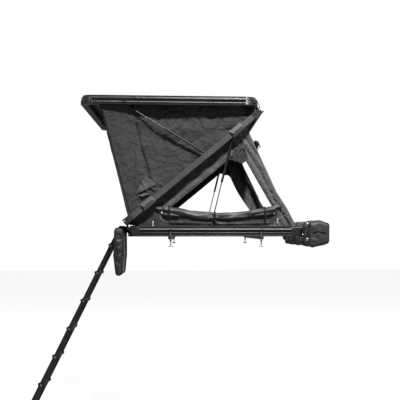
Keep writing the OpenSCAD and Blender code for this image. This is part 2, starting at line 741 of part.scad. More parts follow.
module right_window_roll() {
    z = end_window[2] + 36;
    slope = (low_wall_right.x - wall_foot_right) / (low_wall_right.z - floor_top);
    x = wall_foot_right + (z - floor_top) * slope;
    color("black") translate([x + roll_r + wall_t / 2 + 8, 0, z]) rotate([0, 0, 90])
        roll(2 * (right_half - end_window[0]), 6, roll_r);
}

// Top shell
module top_side_rails() color("dimgray") on_top() side_rails();
module top_end_rails() color("dimgray") on_top() end_rails();
module top_corners() color("gray") on_top() translate([0, 0, rail_h]) mirror([0, 0, 1]) corners();
rib_h = 4;
module roof_panel() color("dimgray") on_top() translate([0, 0, roof_low]) {
    ribs = 7;
    rib_w = 46;
    len = panel_x - 2 * panel_corner;
    hollow_panel();
    for (i = [0 : ribs - 1]) {
        y = (i / (ribs - 1) - 0.5) * (panel_y - 3 * panel_corner);
        translate([0, y, panel_t]) linear_extrude(rib_h) rounded_rect(len, rib_w, rib_w / 2 - 1);
    }
}

// Telescopic ladder, drawn hanging from its pivot rod along -Z before it is leaned out
module on_ladder() {
    translate([ladder_x, ladder_y, zb]) rotate([0, 90 - ladder_slope, 0]) children();
}
module stile(r, s0, s1) {
    translate([0, 0, -s1]) cylinder(r = r, h = s1 - s0);
}
module both_stiles() {
    for (y = [-stile_half, stile_half]) translate([0, y, 0]) children();
}
module ladder_bracket() color("black") translate([ladder_x, ladder_y, zb]) {
    reach = -hx - ladder_x;
    rod_y(rod_pivot_r, -stile_half - 25, stile_half + 25);
    for (y = [-stile_half + 28, stile_half - 28]) translate([0, y, 0]) {
        rotate([90, 0, 0]) translate([0, 0, -3]) linear_extrude(6)
            polygon([[-14, -10], [-10, 14], [10, 16], [reach, -14], [reach, -70]]);
        block([reach - 4, reach], [-30, 30], [-74, -12]);
    }
}
module ladder_top() color("dimgray") on_ladder() difference() {
    both_stiles() {
        rod_y(14, -14, 14);
        stile(stile_r, 6, first_tread + overlap);
    }
    both_stiles() {
        rod_y(rod_pivot_r + fit, -30, 30);
        stile(stile_r - stile_wall, 26, first_tread + overlap + 1);
    }
}
collar_h = 34;
collar_t = 4;
tread_d = 44;
tread_t = 24;
module ladder_section(k) {
    s = tread_at(k);
    end = k < sections ? s + tread_pitch + overlap : s + last_len;
    r = stile_at(k);
    on_ladder() difference() {
        union() {
            both_stiles() {
                stile(r, s - collar_h / 2, end);
                stile(r + collar_t, s - collar_h / 2, s + collar_h / 2);
            }
            translate([0, 0, -s]) rotate([0, ladder_slope - 90, 0]) tread(stile_half - r);
        }
        both_stiles() stile(r - stile_wall, s - collar_h, end + 1);
    }
}
// Level tread with a ribbed top and a hollow underside
module tread(half) {
    rib = 5;
    difference() {
        block([-tread_d / 2, tread_d / 2], [-half, half], [-tread_t / 2, tread_t / 2]);
        block([-tread_d / 2 + 3, tread_d / 2 - 3], [-half + 14, half - 14], [-tread_t, tread_t / 2 - 5]);
        for (x = [-1.5 : 1 : 1.5]) translate([x * 2 * rib, 0, tread_t / 2])
            cube([rib, 2 * half - 30, 3], center = true);
    }
}
module ladder_section_1() color("gray") ladder_section(1);
module ladder_section_2() color("gray") ladder_section(2);
module ladder_section_3() color("gray") ladder_section(3);
module ladder_section_4() color("gray") ladder_section(4);
module ladder_section_5() color("gray") ladder_section(5);
module ladder_section_6() color("gray") ladder_section(6);
module ladder_feet() {
    s = tread_at(sections) + last_len;
    r = stile_at(sections);
    color("black") on_ladder() both_stiles() difference() {
        stile(r + 5, s - 30, s + 8);
        stile(r, s - 31, s);
    }
}

// Bags
boot_bag_end = 35;
boot_bag_gap = 50;
boot_bag_d = 84;
boot_bag_drop = 420;
boot_bag_off = 35;
boot_bag_r = 26;
boot_strap_w = 40;
boot_strap_t = 4;
boot_strap_drop = 34;
boot_bag_y = [-hy + boot_bag_end, ladder_y - stile_half - boot_bag_gap];
boot_bag_len = boot_bag_y[1] - boot_bag_y[0];
module boot_bag() {
    mid = -hx - boot_bag_off - boot_bag_d / 2;
    color("black") {
        translate([mid, boot_bag_y[1], zb - boot_bag_drop / 2 - 6]) rotate([90, 0, 0])
            linear_extrude(boot_bag_len) rounded_rect(boot_bag_d, boot_bag_drop, boot_bag_r);
        for (share = [0.58, 0.92]) translate([0, boot_bag_y[0] + share * boot_bag_len, zb - boot_strap_drop])
            block([mid, -hx], [-boot_strap_w / 2, boot_strap_w / 2], [0, boot_strap_t]);
    }
}
bracket_d = 64;
side_bag_end = 75;
side_bag_rise = 52;
side_bag_r = 34;
module side_bag() {
    len = shell_y - 2 * side_bag_end;
    color("black")
        translate([hx + bracket_d + side_bag_d / 2, len / 2, zb + side_bag_rise - side_bag_h / 2])
        rotate([90, 0, 0]) linear_extrude(len) rounded_rect(side_bag_d, side_bag_h, side_bag_r);
}
module side_bag_brackets() {
    t = 5;
    wide = 56;
    y1 = hy - corner_r - wide / 2;
    color("black") for (y = [-y1, 0, y1]) translate([hx, y + wide / 2, zb]) rotate([90, 0, 0])
        linear_extrude(wide) {
            translate([0, -76]) square([t, 62]);
            translate([0, -50]) square([bracket_d, t]);
            translate([bracket_d - t, -side_bag_h + 100]) square([t, side_bag_h - 90]);
        }
}

base_side_rails();
base_end_rails();
base_corners();
floor_panel();
rack_rails();
mattress();
base_seal();
base_hinge_leaves();
base_hinge_pins();
latch_brackets();
base_strut_mounts();
ladder_bracket();
boot_bag();
side_bag();
side_bag_brackets();
lower_walls();
window_rolls();
right_wall();
right_window_roll();
arm_near();
arm_far();
frame_crossbars();
frame_end_sleeves();
frame_hinge_leaves();
saddle_brackets();
saddle_bolts();
frame_strut_studs();
fabric_tracks();
end_soffit();
upper_walls();
entrance_wall();
top_side_rails();
top_end_rails();
top_corners();
roof_panel();
top_hinge_leaves();
top_hinge_pins();
latch_keepers();
top_strut_mounts();
lower_strut_tube_near();
lower_strut_rod_near();
lower_strut_tube_far();
lower_strut_rod_far();
upper_strut_tube_near();
upper_strut_rod_near();
upper_strut_tube_far();
upper_strut_rod_far();
latch_near_left();
latch_near_right();
latch_far_left();
latch_far_right();
ladder_top();
ladder_section_1();
ladder_section_2();
ladder_section_3();
ladder_section_4();
ladder_section_5();
ladder_section_6();
ladder_feet();
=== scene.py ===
import json
import math

import bmesh
import bpy
import numpy as np
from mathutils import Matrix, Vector


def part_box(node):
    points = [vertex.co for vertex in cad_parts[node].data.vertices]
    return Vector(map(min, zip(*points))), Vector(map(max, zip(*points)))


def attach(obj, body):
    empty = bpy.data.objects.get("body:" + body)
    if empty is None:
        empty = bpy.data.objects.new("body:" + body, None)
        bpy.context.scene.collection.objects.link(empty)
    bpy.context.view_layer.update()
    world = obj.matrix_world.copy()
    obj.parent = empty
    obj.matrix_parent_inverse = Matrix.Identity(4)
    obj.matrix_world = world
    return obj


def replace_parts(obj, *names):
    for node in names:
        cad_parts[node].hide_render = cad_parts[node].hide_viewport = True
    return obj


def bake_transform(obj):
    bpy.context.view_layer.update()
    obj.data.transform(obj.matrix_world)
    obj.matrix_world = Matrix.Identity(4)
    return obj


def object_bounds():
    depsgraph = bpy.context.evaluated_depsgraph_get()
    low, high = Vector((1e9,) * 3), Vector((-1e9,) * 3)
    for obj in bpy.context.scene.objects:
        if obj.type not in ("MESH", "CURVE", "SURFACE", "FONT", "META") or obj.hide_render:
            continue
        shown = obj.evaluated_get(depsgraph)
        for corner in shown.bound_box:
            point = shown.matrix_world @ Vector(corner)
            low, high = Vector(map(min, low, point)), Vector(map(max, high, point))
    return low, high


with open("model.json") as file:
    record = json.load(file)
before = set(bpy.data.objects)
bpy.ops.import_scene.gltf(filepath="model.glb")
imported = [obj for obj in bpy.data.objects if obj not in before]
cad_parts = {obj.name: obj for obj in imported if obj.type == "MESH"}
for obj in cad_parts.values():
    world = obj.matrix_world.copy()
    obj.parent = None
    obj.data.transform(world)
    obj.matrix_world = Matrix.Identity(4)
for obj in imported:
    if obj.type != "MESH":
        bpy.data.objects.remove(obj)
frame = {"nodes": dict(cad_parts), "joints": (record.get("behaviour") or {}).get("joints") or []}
cadLow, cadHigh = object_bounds()
nodes = frame["nodes"]
joints = {j["name"]: j for j in frame["joints"]}
scene = bpy.context.scene
print("frame loaded:", len(nodes), "nodes")

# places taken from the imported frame, in metres
pinLow = np.array(joints["frame_fold"]["pos_m"])
pinHigh = np.array(joints["top_fold"]["pos_m"])
openAngle = math.radians(joints["frame_fold"]["range_deg"][1])


def spanOf(node):
    low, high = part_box(node)
    return np.array(low), np.array(high)


def pointsOf(obj):
    return np.array([v.co for v in obj.data.vertices], float).reshape(-1, 3)


def onArm(u, v, y=0.0):  # u along the arm from the lower pin, v square to it
    c, s = math.cos(openAngle), math.sin(openAngle)
    return np.array([pinLow[0] + u * c - v * s, y, pinLow[2] + u * s + v * c])


baseLow, baseHigh = spanOf("base_side_rails")
topLow, topHigh = spanOf("top_side_rails")
rim = baseHigh[2]  # seam of the base tray
roofSeam = topLow[2]
roofFace = spanOf("roof_panel")[0][2]
wallY = spanOf("fabric_tracks")[1][1] - 0.006
halfY = baseHigh[1]
halfX = spanOf("base_end_rails")[1][0]

# camera at the photograph's viewing angle
cameraView = {"place": (-0.266, -8.975, 0.080), "turn": 4.93, "lens": 80.8, "shift": (-0.158, 0.0756)}


def addCamera():
    data = bpy.data.cameras.new("viewCamera")
    data.lens = cameraView["lens"]
    data.sensor_width = 36.0
    data.clip_end = 200.0
    obj = bpy.data.objects.new("viewCamera", data)
    obj.location = cameraView["place"]
    data.shift_x, data.shift_y = cameraView["shift"]
    obj.rotation_euler = (math.pi / 2, 0, -math.radians(cameraView["turn"]))
    scene.collection.objects.link(obj)
    scene.camera = obj


addCamera()
print("camera set")


# node helpers for the finishes
def newMaterial(name):
    material = bpy.data.materials.new(name)
    material.use_nodes = True
    tree = material.node_tree
    return material, tree, tree.nodes["Principled BSDF"]


def addNode(tree, kind, **values):
    node = tree.nodes.new(kind)
    for key, value in values.items():
        setattr(node, key, value)
    return node


def mathNode(tree, operation, first, second):  # each input is a number or a socket
    node = addNode(tree, "ShaderNodeMath", operation=operation)
    for socket, value in zip(node.inputs, (first, second)):
        if isinstance(value, float):
            socket.default_value = value
        else:
            tree.links.new(value, socket)
    return node.outputs[0]


def mixShader(tree, factor, first, second):
    node = addNode(tree, "ShaderNodeMixShader")
    for socket, value in zip(node.inputs, (factor, first, second)):
        tree.links.new(value, socket)
    return node.outputs[0]


def scaled(colour, k):
    return tuple(min(1.0, c * k) for c in colour) + (1.0,)


def noiseNode(tree, coords, scale, detail=3.0, rough=0.55, stretch=None):
    node = addNode(tree, "ShaderNodeTexNoise")
    node.inputs["Scale"].default_value = scale
    node.inputs["Detail"].default_value = detail
    node.inputs["Roughness"].default_value = rough
    source = coords
    if stretch:
        mapping = addNode(tree, "ShaderNodeMapping")
        mapping.inputs["Scale"].default_value = stretch
        tree.links.new(coords, mapping.inputs["Vector"])
        source = mapping.outputs["Vector"]
    tree.links.new(source, node.inputs["Vector"])
    return node.outputs["Fac"]


def rampNode(tree, factor, stops):
    node = addNode(tree, "ShaderNodeValToRGB")
    ramp = node.color_ramp
    while len(ramp.elements) < len(stops):
        ramp.elements.new(0.5)
    for element, (at, colour) in zip(ramp.elements, stops):
        element.position = at
        element.color = colour
    tree.links.new(factor, node.inputs["Fac"])
    return node.outputs["Color"]


def multiplied(tree, a, b, share):
    node = addNode(tree, "ShaderNodeMix", data_type="RGBA", blend_type="MULTIPLY")
    node.inputs[0].default_value = share
    tree.links.new(a, node.inputs[6])
    tree.links.new(b, node.inputs[7])
    return node.outputs[2]


def ranged(tree, factor, low, high):
    node = addNode(tree, "ShaderNodeMapRange")
    node.inputs["From Min"].default_value = 0.3
    node.inputs["From Max"].default_value = 0.7
    node.inputs["To Min"].default_value = low
    node.inputs["To Max"].default_value = high
    tree.links.new(factor, node.inputs["Value"])
    return node.outputs["Result"]


def bumped(tree, height, strength, distance, before=None):
    node = addNode(tree, "ShaderNodeBump")
    node.inputs["Strength"].default_value = strength
    node.inputs["Distance"].default_value = distance
    tree.links.new(height, node.inputs["Height"])
    if before is not None:
        tree.links.new(before, node.inputs["Normal"])
    return node.outputs["Normal"]


def waveNode(tree, coords, direction, scale):
    node = addNode(tree, "ShaderNodeTexWave", bands_direction=direction)
    node.inputs["Scale"].default_value = scale
    node.inputs["Distortion"].default_value = 0.4
    node.inputs["Detail"].default_value = 1.0
    tree.links.new(coords, node.inputs["Vector"])
    return node.outputs["Fac"]


finishes = {}


# one finish: cloudy colour, fine specks, uneven gloss and layers of relief
def addFinish(name, colour, rough, metal=0.0, cloud=(5.0, 0.18), speck=(120.0, 0.12), uneven=0.08,
               relief=((400.0, 0.15, 0.0006),), weave=None, sheen=0.0, coat=0.0, stretch=None, specular=0.5,
              stitched=None):
    material, tree, shader = newMaterial(name)
    coords = addNode(tree, "ShaderNodeTexCoord").outputs["Object"]
    cloudy = noiseNode(tree, coords, cloud[0], 4.0, 0.6, stretch)
    base = rampNode(tree, cloudy, [(0.32, scaled(colour, 1 - cloud[1])),
                                   (0.68, scaled(colour, 1 + cloud[1]))])
    specks = noiseNode(tree, coords, speck[0], 2.0, 0.6, stretch)
    tint = rampNode(tree, specks, [(0.3, (1 - speck[1],) * 3 + (1,)), (0.7, (1, 1, 1, 1))])
    base = multiplied(tree, base, tint, 1.0)
    normal = None
    if weave:
        period, depth = weave
        warp, weft, fill = (waveNode(tree, coords, way, 0.314 / period) for way in "XZY")
        cloth = mathNode(tree, "ADD", mathNode(tree, "MULTIPLY", warp, weft), fill)
        threadAndValleyShade = rampNode(tree, cloth, [(0.1, (0.72, 0.72, 0.72, 1)), (0.9, (1, 1, 1, 1))])
        base = multiplied(tree, base, threadAndValleyShade, 0.6)
        normal = bumped(tree, cloth, 0.35, depth, normal)
    if stitched:  # wandering rows of stitches; the colour darkens along the rows as painted shade in the quilted valleys
        spread, rows, depth, shade = stitched
        count = mathNode(tree, "MULTIPLY", noiseNode(tree, coords, spread, 2.0, 0.5), rows)
        puff = mathNode(tree, "POWER", mathNode(tree, "PINGPONG", count, 1.0), 0.4)
        threadAndValleyShade = rampNode(tree, puff, [(0.15, (shade, shade, shade, 1)), (0.55, (1, 1, 1, 1))])
        base = multiplied(tree, base, threadAndValleyShade, 1.0)
        normal = bumped(tree, puff, 0.7, depth, normal)
    for scale, strength, distance in relief:
        height = noiseNode(tree, coords, scale, 3.0, 0.6, stretch)
        normal = bumped(tree, height, strength, distance, normal)
    tree.links.new(base, shader.inputs["Base Color"])
    gloss = ranged(tree, noiseNode(tree, coords, cloud[0] * 4, 3.0, 0.6, stretch), rough - uneven,
                   rough + uneven)
    tree.links.new(gloss, shader.inputs["Roughness"])
    if normal is not None:
        tree.links.new(normal, shader.inputs["Normal"])
    shader.inputs["Metallic"].default_value = metal
    shader.inputs["Specular IOR Level"].default_value = specular
    if sheen:
        shader.inputs["Sheen Weight"].default_value = sheen
        shader.inputs["Sheen Roughness"].default_value = 0.5
    if coat:
        shader.inputs["Coat Weight"].default_value = coat
        shader.inputs["Coat Roughness"].default_value = 0.2
    finishes[name] = material


# finishes; colour, then roughness and metal
grain = ((700.0, 0.25, 0.0004), (60.0, 0.06, 0.0008))
castGrain = ((260.0, 0.4, 0.0009), (40.0, 0.12, 0.0012))
clothRelief = ((34.0, 0.16, 0.004), (160.0, 0.3, 0.0012))
drawn = (1.0, 0.02, 1.0)
addFinish("railBlack", (0.011, 0.011, 0.012), 0.32, 0.0, (3.0, 0.25), (300.0, 0.2), 0.06, grain[:1],
          specular=0.4)
# painted highlight: a light grey finish for the strips on the rails' lips
addFinish("edgeGrey", (0.085, 0.085, 0.088), 0.4, 0.0, (7.0, 0.2), (300.0, 0.2), 0.06, grain[:1])
addFinish("castBlack", (0.014, 0.014, 0.015), 0.3, 0.0, (9.0, 0.3), (220.0, 0.25), 0.08, castGrain[:1],
          coat=0.6)
addFinish("roofBlack", (0.014, 0.014, 0.015), 0.42, 0.0, (2.0, 0.2), (260.0, 0.2), 0.08, grain)
addFinish("floorAlu", (0.52, 0.53, 0.54), 0.36, 0.9, (4.0, 0.1), (160.0, 0.1), 0.08,
          ((300.0, 0.12, 0.0004),), stretch=(1.0, 0.03, 1.0))
addFinish("rackAlu", (0.045, 0.045, 0.047), 0.4, 0.3, (4.0, 0.2), (200.0, 0.15), 0.08, grain, stretch=drawn)
addFinish("sealRubber", (0.016, 0.016, 0.016), 0.62, 0.0, (12.0, 0.2), (200.0, 0.2), 0.1,
          ((260.0, 0.3, 0.0006),))
addFinish("blackSteel", (0.005, 0.005, 0.005), 0.58, 0.0, (10.0, 0.3), (260.0, 0.3), 0.1, grain,
          specular=0.12)
addFinish("zincSteel", (0.62, 0.62, 0.6), 0.26, 1.0, (20.0, 0.12), (300.0, 0.12), 0.1,
          ((500.0, 0.12, 0.0003),))
addFinish("greyFrame", (0.066, 0.066, 0.068), 0.5, 0.15, (5.0, 0.14), (320.0, 0.12), 0.08,
          ((600.0, 0.22, 0.0004),), stretch=(0.3, 1.0, 0.3))
addFinish("saddleGrey", (0.08, 0.08, 0.083), 0.62, 0.0, (16.0, 0.2), (300.0, 0.2), 0.1, castGrain)
addFinish("sleevePlastic", (0.02, 0.02, 0.021), 0.36, 0.0, (14.0, 0.2), (300.0, 0.15), 0.08,
          ((480.0, 0.35, 0.0005),))
addFinish("trackAlu", (0.05, 0.05, 0.052), 0.42, 0.6, (6.0, 0.15), (240.0, 0.15), 0.08, grain)
addFinish("strutBlack", (0.012, 0.012, 0.013), 0.5, 0.0, (9.0, 0.2), (300.0, 0.15), 0.06,
          ((500.0, 0.1, 0.0003),), specular=0.3)
addFinish("strutChrome", (0.075, 0.075, 0.078), 0.42, 1.0, (8.0, 0.06), (300.0, 0.05), 0.04,
          ((600.0, 0.05, 0.0002),))
addFinish("latchSteel", (0.2, 0.2, 0.205), 0.34, 0.85, (18.0, 0.14), (260.0, 0.14), 0.1,
          ((400.0, 0.15, 0.0003),), stretch=(1.0, 1.0, 0.05))
addFinish("ladderAlu", (0.026, 0.026, 0.028), 0.34, 0.4, (7.0, 0.2), (260.0, 0.15), 0.08, grain)
addFinish("ladderPlastic", (0.014, 0.014, 0.015), 0.44, 0.0, (20.0, 0.2), (300.0, 0.15), 0.08,
          ((420.0, 0.3, 0.0005),))
addFinish("footRubber", (0.014, 0.014, 0.014), 0.7, 0.0, (20.0, 0.25), (240.0, 0.25), 0.1,
          ((200.0, 0.5, 0.001),))
addFinish("wallFabric", (0.054, 0.054, 0.056), 0.78, 0.0, (14.0, 0.16), (260.0, 0.22), 0.06, clothRelief,
          (0.0021, 0.0006), sheen=0.2, specular=0.1, stitched=(6.5, 14.0, 0.007, 0.72))
# a lighter fabric for the hems and piping, also laid as painted light on the lit strip to the right of each
# window
addFinish("hemFabric", (0.125, 0.125, 0.127), 0.74, 0.0, (18.0, 0.16), (260.0, 0.2), 0.06, clothRelief,
          (0.0018, 0.0006), sheen=0.2, specular=0.15, stitched=(13.0, 14.0, 0.006, 0.7))
# painted light: a lighter copy of the wall fabric for the slack fold's lit face
addFinish("foldFabric", (0.082, 0.082, 0.084), 0.74, 0.0, (18.0, 0.16), (260.0, 0.2), 0.06, clothRelief,
          (0.0018, 0.0006), sheen=0.2, specular=0.15)
addFinish("rollFabric", (0.026, 0.026, 0.027), 0.5, 0.0, (20.0, 0.22), (240.0, 0.2), 0.1, clothRelief,
          (0.0016, 0.0004), sheen=0.1, specular=0.4)
addFinish("bagFabric", (0.026, 0.026, 0.027), 0.58, 0.0, (12.0, 0.22), (260.0, 0.25), 0.1,
          ((30.0, 0.3, 0.005), (170.0, 0.35, 0.0012)), (0.0022, 0.0005), sheen=0.12)
addFinish("bootFabric", (0.013, 0.013, 0.014), 0.5, 0.0, (12.0, 0.25), (260.0, 0.25), 0.1,
          ((26.0, 0.35, 0.006), (170.0, 0.35, 0.0012)), (0.0022, 0.0005), sheen=0.1)
addFinish("mattressCover", (0.05, 0.052, 0.056), 0.85, 0.0, (10.0, 0.14), (280.0, 0.22), 0.05, clothRelief,
          (0.0026, 0.0008), sheen=0.35, specular=0.25)
addFinish("webbing", (0.011, 0.011, 0.012), 0.7, 0.0, (20.0, 0.2), (320.0, 0.25), 0.06,
          ((240.0, 0.4, 0.0008),), (0.0012, 0.0005), sheen=0.05, specular=0.2)
addFinish("zipCoil", (0.008, 0.008, 0.008), 0.42, 0.0, (30.0, 0.2), (300.0, 0.2), 0.08,
          ((500.0, 0.5, 0.0008),))
addFinish("toggleWhite", (0.6, 0.6, 0.59), 0.34, 0.0, (40.0, 0.1), (300.0, 0.08), 0.06,
          ((300.0, 0.15, 0.0003),))
print("finishes made:", len(finishes))

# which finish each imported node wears
nodeFinish = {
    "railBlack": ["base_side_rails", "base_end_rails", "top_side_rails", "top_end_rails"],
    "castBlack": ["base_corners", "top_corners"],
    "roofBlack": ["roof_panel"],
    "floorAlu": ["floor_panel"],
    "rackAlu": ["rack_rails"],
    "sealRubber": ["base_seal"],
    "blackSteel": ["base_hinge_pins", "top_hinge_pins", "base_hinge_leaves", "frame_hinge_leaves",
                   "top_hinge_leaves", "latch_brackets", "latch_keepers",
                   "base_strut_mounts", "top_strut_mounts", "ladder_bracket", "side_bag_brackets"],
    "zincSteel": ["frame_strut_studs", "saddle_bolts"],
    "greyFrame": ["arm_near", "arm_far", "frame_crossbars"],
    "saddleGrey": ["saddle_brackets"],
    "sleevePlastic": ["frame_end_sleeves"],
    "trackAlu": ["fabric_tracks"],
    "strutBlack": [n for n in nodes if "_strut_tube_" in n],
    "strutChrome": [n for n in nodes if "_strut_rod_" in n],
    "latchSteel": [n for n in nodes if n.startswith("latch_near") or n.startswith("latch_far")],
    "ladderAlu": [n for n in nodes if n.startswith("ladder_section") or n == "ladder_top"],
    "footRubber": ["ladder_feet"],
}
for finish, names in nodeFinish.items():
    for name in names:
        data = nodes[name].data
        data.materials.clear()
        data.materials.append(finishes[finish])
        for polygon in data.polygons:
            polygon.material_index = 0
print("packed nodes dressed")

# floor and studio light
studio = {"floorSize": 60.0, "floorGrey": 0.36, "floorGlow": 0.90, "sky": 0.032, "shine": 0.28,
          "aim": (-0.3, 0.0, 0.6)}
studioLights = {  # place, size and power
    "keyLight": ((0.6, -5.6, 6.6), 0.6, 1000.0),
    "fillLight": ((5.5, -6.5, 1.6), 5.0, 40.0),
    "overLight": ((1.2, -3.2, 6.4), 4.0, 700.0),
    "backLight": ((2.5, 6.5, 6.0), 4.0, 240.0),
}


def cameraRays(tree):  # camera and transmission rays together
    path = addNode(tree, "ShaderNodeLightPath")
    return mathNode(tree, "MAXIMUM", path.outputs["Is Camera Ray"], path.outputs["Is Transmission Ray"])


def addStudio():
    scene.view_settings.view_transform = "Standard"
    world = bpy.data.worlds.new("studioWorld")
    scene.world = world
    world.use_nodes = True
    tree = world.node_tree
    soft = tree.nodes["Background"]
    # shine is what glossy surfaces mirror
    white, shine = (addNode(tree, "ShaderNodeBackground") for _ in range(2))
    for node, strength in ((soft, studio["sky"]), (white, 1.0), (shine, studio["shine"])):
        node.inputs["Color"].default_value = (1, 1, 1, 1)
        node.inputs["Strength"].default_value = strength
    path = addNode(tree, "ShaderNodeLightPath")
    room = mixShader(tree, path.outputs["Is Glossy Ray"], soft.outputs[0], shine.outputs[0])
    seen = mixShader(tree, cameraRays(tree), room, white.outputs[0])
    tree.links.new(seen, tree.nodes["World Output"].inputs["Surface"])

    half = studio["floorSize"] / 2
    low = cadLow[2] - 0.001
    corners = [(-half, -half, low), (half, -half, low), (half, half, low), (-half, half, low)]
    mesh = bpy.data.meshes.new("studioFloor")
    mesh.from_pydata(corners, [], [(0, 1, 2, 3)])
    floor = bpy.data.objects.new("studioFloor", mesh)
    scene.collection.objects.link(floor)
    material, tree, shader = newMaterial("floorWhite")
    shader.inputs["Base Color"].default_value = (studio["floorGrey"],) * 3 + (1,)
    shader.inputs["Roughness"].default_value = 0.9
    shader.inputs["Specular IOR Level"].default_value = 0.1
    glow = addNode(tree, "ShaderNodeEmission")
    lift = mathNode(tree, "MULTIPLY", cameraRays(tree), studio["floorGlow"])
    tree.links.new(lift, glow.inputs["Strength"])
    both = addNode(tree, "ShaderNodeAddShader")
    tree.links.new(shader.outputs[0], both.inputs[0])
    tree.links.new(glow.outputs[0], both.inputs[1])
    tree.links.new(both.outputs[0], tree.nodes["Material Output"].inputs["Surface"])
    mesh.materials.append(material)

    for name, (place, size, energy) in studioLights.items():
        lamp = bpy.data.lights.new(name, "AREA")
        lamp.size = size
        lamp.energy = energy
        obj = bpy.data.objects.new(name, lamp)
        obj.location = place
        obj.visible_diffuse = name != "overLight"  # a strip light for highlights only
        look = Vector(studio["aim"]) - Vector(place)
        obj.rotation_euler = look.to_track_quat("-Z", "Y").to_euler()
        scene.collection.objects.link(obj)


addStudio()
print("studio lit")


# mesh helpers: a shape is (points, faces)
def joined(shapes):
    points, faces, n = [], [], 0
    for p, f in shapes:
        points.append(np.asarray(p, float).reshape(-1, 3))
        faces += [tuple(i + n for i in face) for face in f]
        n += len(points[-1])
    return np.concatenate(points), faces


def applyModifier(obj, modifier):
    bpy.context.view_layer.objects.active = obj
    with bpy.context.temp_override(object=obj, active_object=obj, selected_objects=[obj]):
        bpy.ops.object.modifier_apply(modifier=modifier.name)


def makeObject(name, shape, finish, sharp=40.0, bevel=0.0):
    points, faces = shape
    mesh = bpy.data.meshes.new(name)
    mesh.from_pydata([tuple(p) for p in points], [], faces)
    work = bmesh.new()
    work.from_mesh(mesh)
    bmesh.ops.recalc_face_normals(work, faces=work.faces)
    work.to_mesh(mesh)
    work.free()
    mesh.polygons.foreach_set("use_smooth", [True] * len(mesh.polygons))
    mesh.set_sharp_from_angle(angle=math.radians(sharp))
    mesh.materials.append(finishes[finish])
    obj = bpy.data.objects.new(name, mesh)
    scene.collection.objects.link(obj)
    if bevel:
        modifier = obj.modifiers.new("softEdges", "BEVEL")
        modifier.width = bevel
        modifier.segments = 2
        modifier.limit_method = "ANGLE"
        modifier.angle_limit = math.radians(35)
        applyModifier(obj, modifier)
    return obj


def gridNormals(grid, ring=False):
    if ring:
        padded = np.concatenate([grid[:, -1:], grid, grid[:, :1]], axis=1)
        du = (padded[:, 2:] - padded[:, :-2]) / 2
    else:
        du = np.gradient(grid, axis=1)
    dv = np.gradient(grid, axis=0)
    n = np.cross(du, dv)
    return n / np.maximum(np.linalg.norm(n, axis=2, keepdims=True), 1e-9)


def clothShape(grid, thick, ring=False):  # a closed sheet from a grid of points, or from rings of them
    rows, cols = grid.shape[:2]
    normal = gridNormals(grid, ring)
    points = np.concatenate([(grid + normal * thick / 2).reshape(-1, 3),
                             (grid - normal * thick / 2).reshape(-1, 3)])
    n, faces = rows * cols, []
    last = cols if ring else cols - 1
    at = lambda j, i: j * cols + i % cols
    for j in range(rows - 1):
        for i in range(last):
            faces.append((at(j, i), at(j, i + 1), at(j + 1, i + 1), at(j + 1, i)))
            faces.append((n + at(j, i), n + at(j + 1, i), n + at(j + 1, i + 1), n + at(j, i + 1)))
    for i in range(last):
        for j, turn in ((0, 1), (rows - 1, -1)):
            faces.append((at(j, i), n + at(j, i), n + at(j, i + 1), at(j, i + 1))[::turn])
    if not ring:
        for j in range(rows - 1):
            for i, turn in ((0, -1), (cols - 1, 1)):
                faces.append((at(j, i), n + at(j, i), n + at(j + 1, i), at(j + 1, i))[::turn])
    return points, faces


def ringFaces(rings, sides, closed=False):  # faces between rings of points, with both ends shut unless closed
    faces = []
    for j in range(rings if closed else rings - 1):
        for i in range(sides):
            a, b = j * sides + i, j * sides + (i + 1) % sides
            c, d = (j + 1) % rings * sides + (i + 1) % sides, (j + 1) % rings * sides + i
            faces.append((a, b, c, d))
    if not closed:
        faces += [tuple(range(sides))[::-1], tuple((rings - 1) * sides + i for i in range(sides))]
    return faces


def loftShape(path, across, out, profile, closed=False):  # a closed outline carried along a path
    path, across, out = (np.asarray(v, float) for v in (path, across, out))
    profile = np.asarray(profile, float)
    across = np.broadcast_to(across, path.shape)
    out = np.broadcast_to(out, path.shape)
    rings = (path[:, None] + across[:, None] * profile[None, :, :1] + out[:, None] * profile[None, :, 1:2])
    return rings.reshape(-1, 3), ringFaces(len(path), len(profile), closed)


def tapeProfile(width, thick):  # a flat tape with rounded edges
    w, t = width / 2, thick / 2
    return [(-w, 0), (-w + t * 0.4, -t * 0.8), (-w + t * 1.2, -t), (w - t * 1.2, -t), (w - t * 0.4, -t * 0.8),
            (w, 0), (w - t * 0.4, t * 0.8), (w - t * 1.2, t), (-w + t * 1.2, t), (-w + t * 0.4, t * 0.8)]


def roundProfile(radius, sides=12):
    return [(radius * math.cos(2 * math.pi * i / sides), radius * math.sin(2 * math.pi * i / sides))
            for i in range(sides)]


def tangents(path, closed=False):
    path = np.asarray(path, float)
    if closed:
        t = np.roll(path, -1, axis=0) - np.roll(path, 1, axis=0)
    else:
        t = np.gradient(path, axis=0)
    return t / np.maximum(np.linalg.norm(t, axis=1, keepdims=True), 1e-9)


def tubeShape(path, radius, sides=10, closed=False):
    t = tangents(path, closed)
    side = np.cross(t, np.where(np.abs(t[:, 2:3]) < 0.9, [[0, 0, 1.0]], [[1.0, 0, 0]]))
    side /= np.linalg.norm(side, axis=1, keepdims=True)
    return loftShape(path, side, np.cross(side, t), roundProfile(radius, sides), closed)


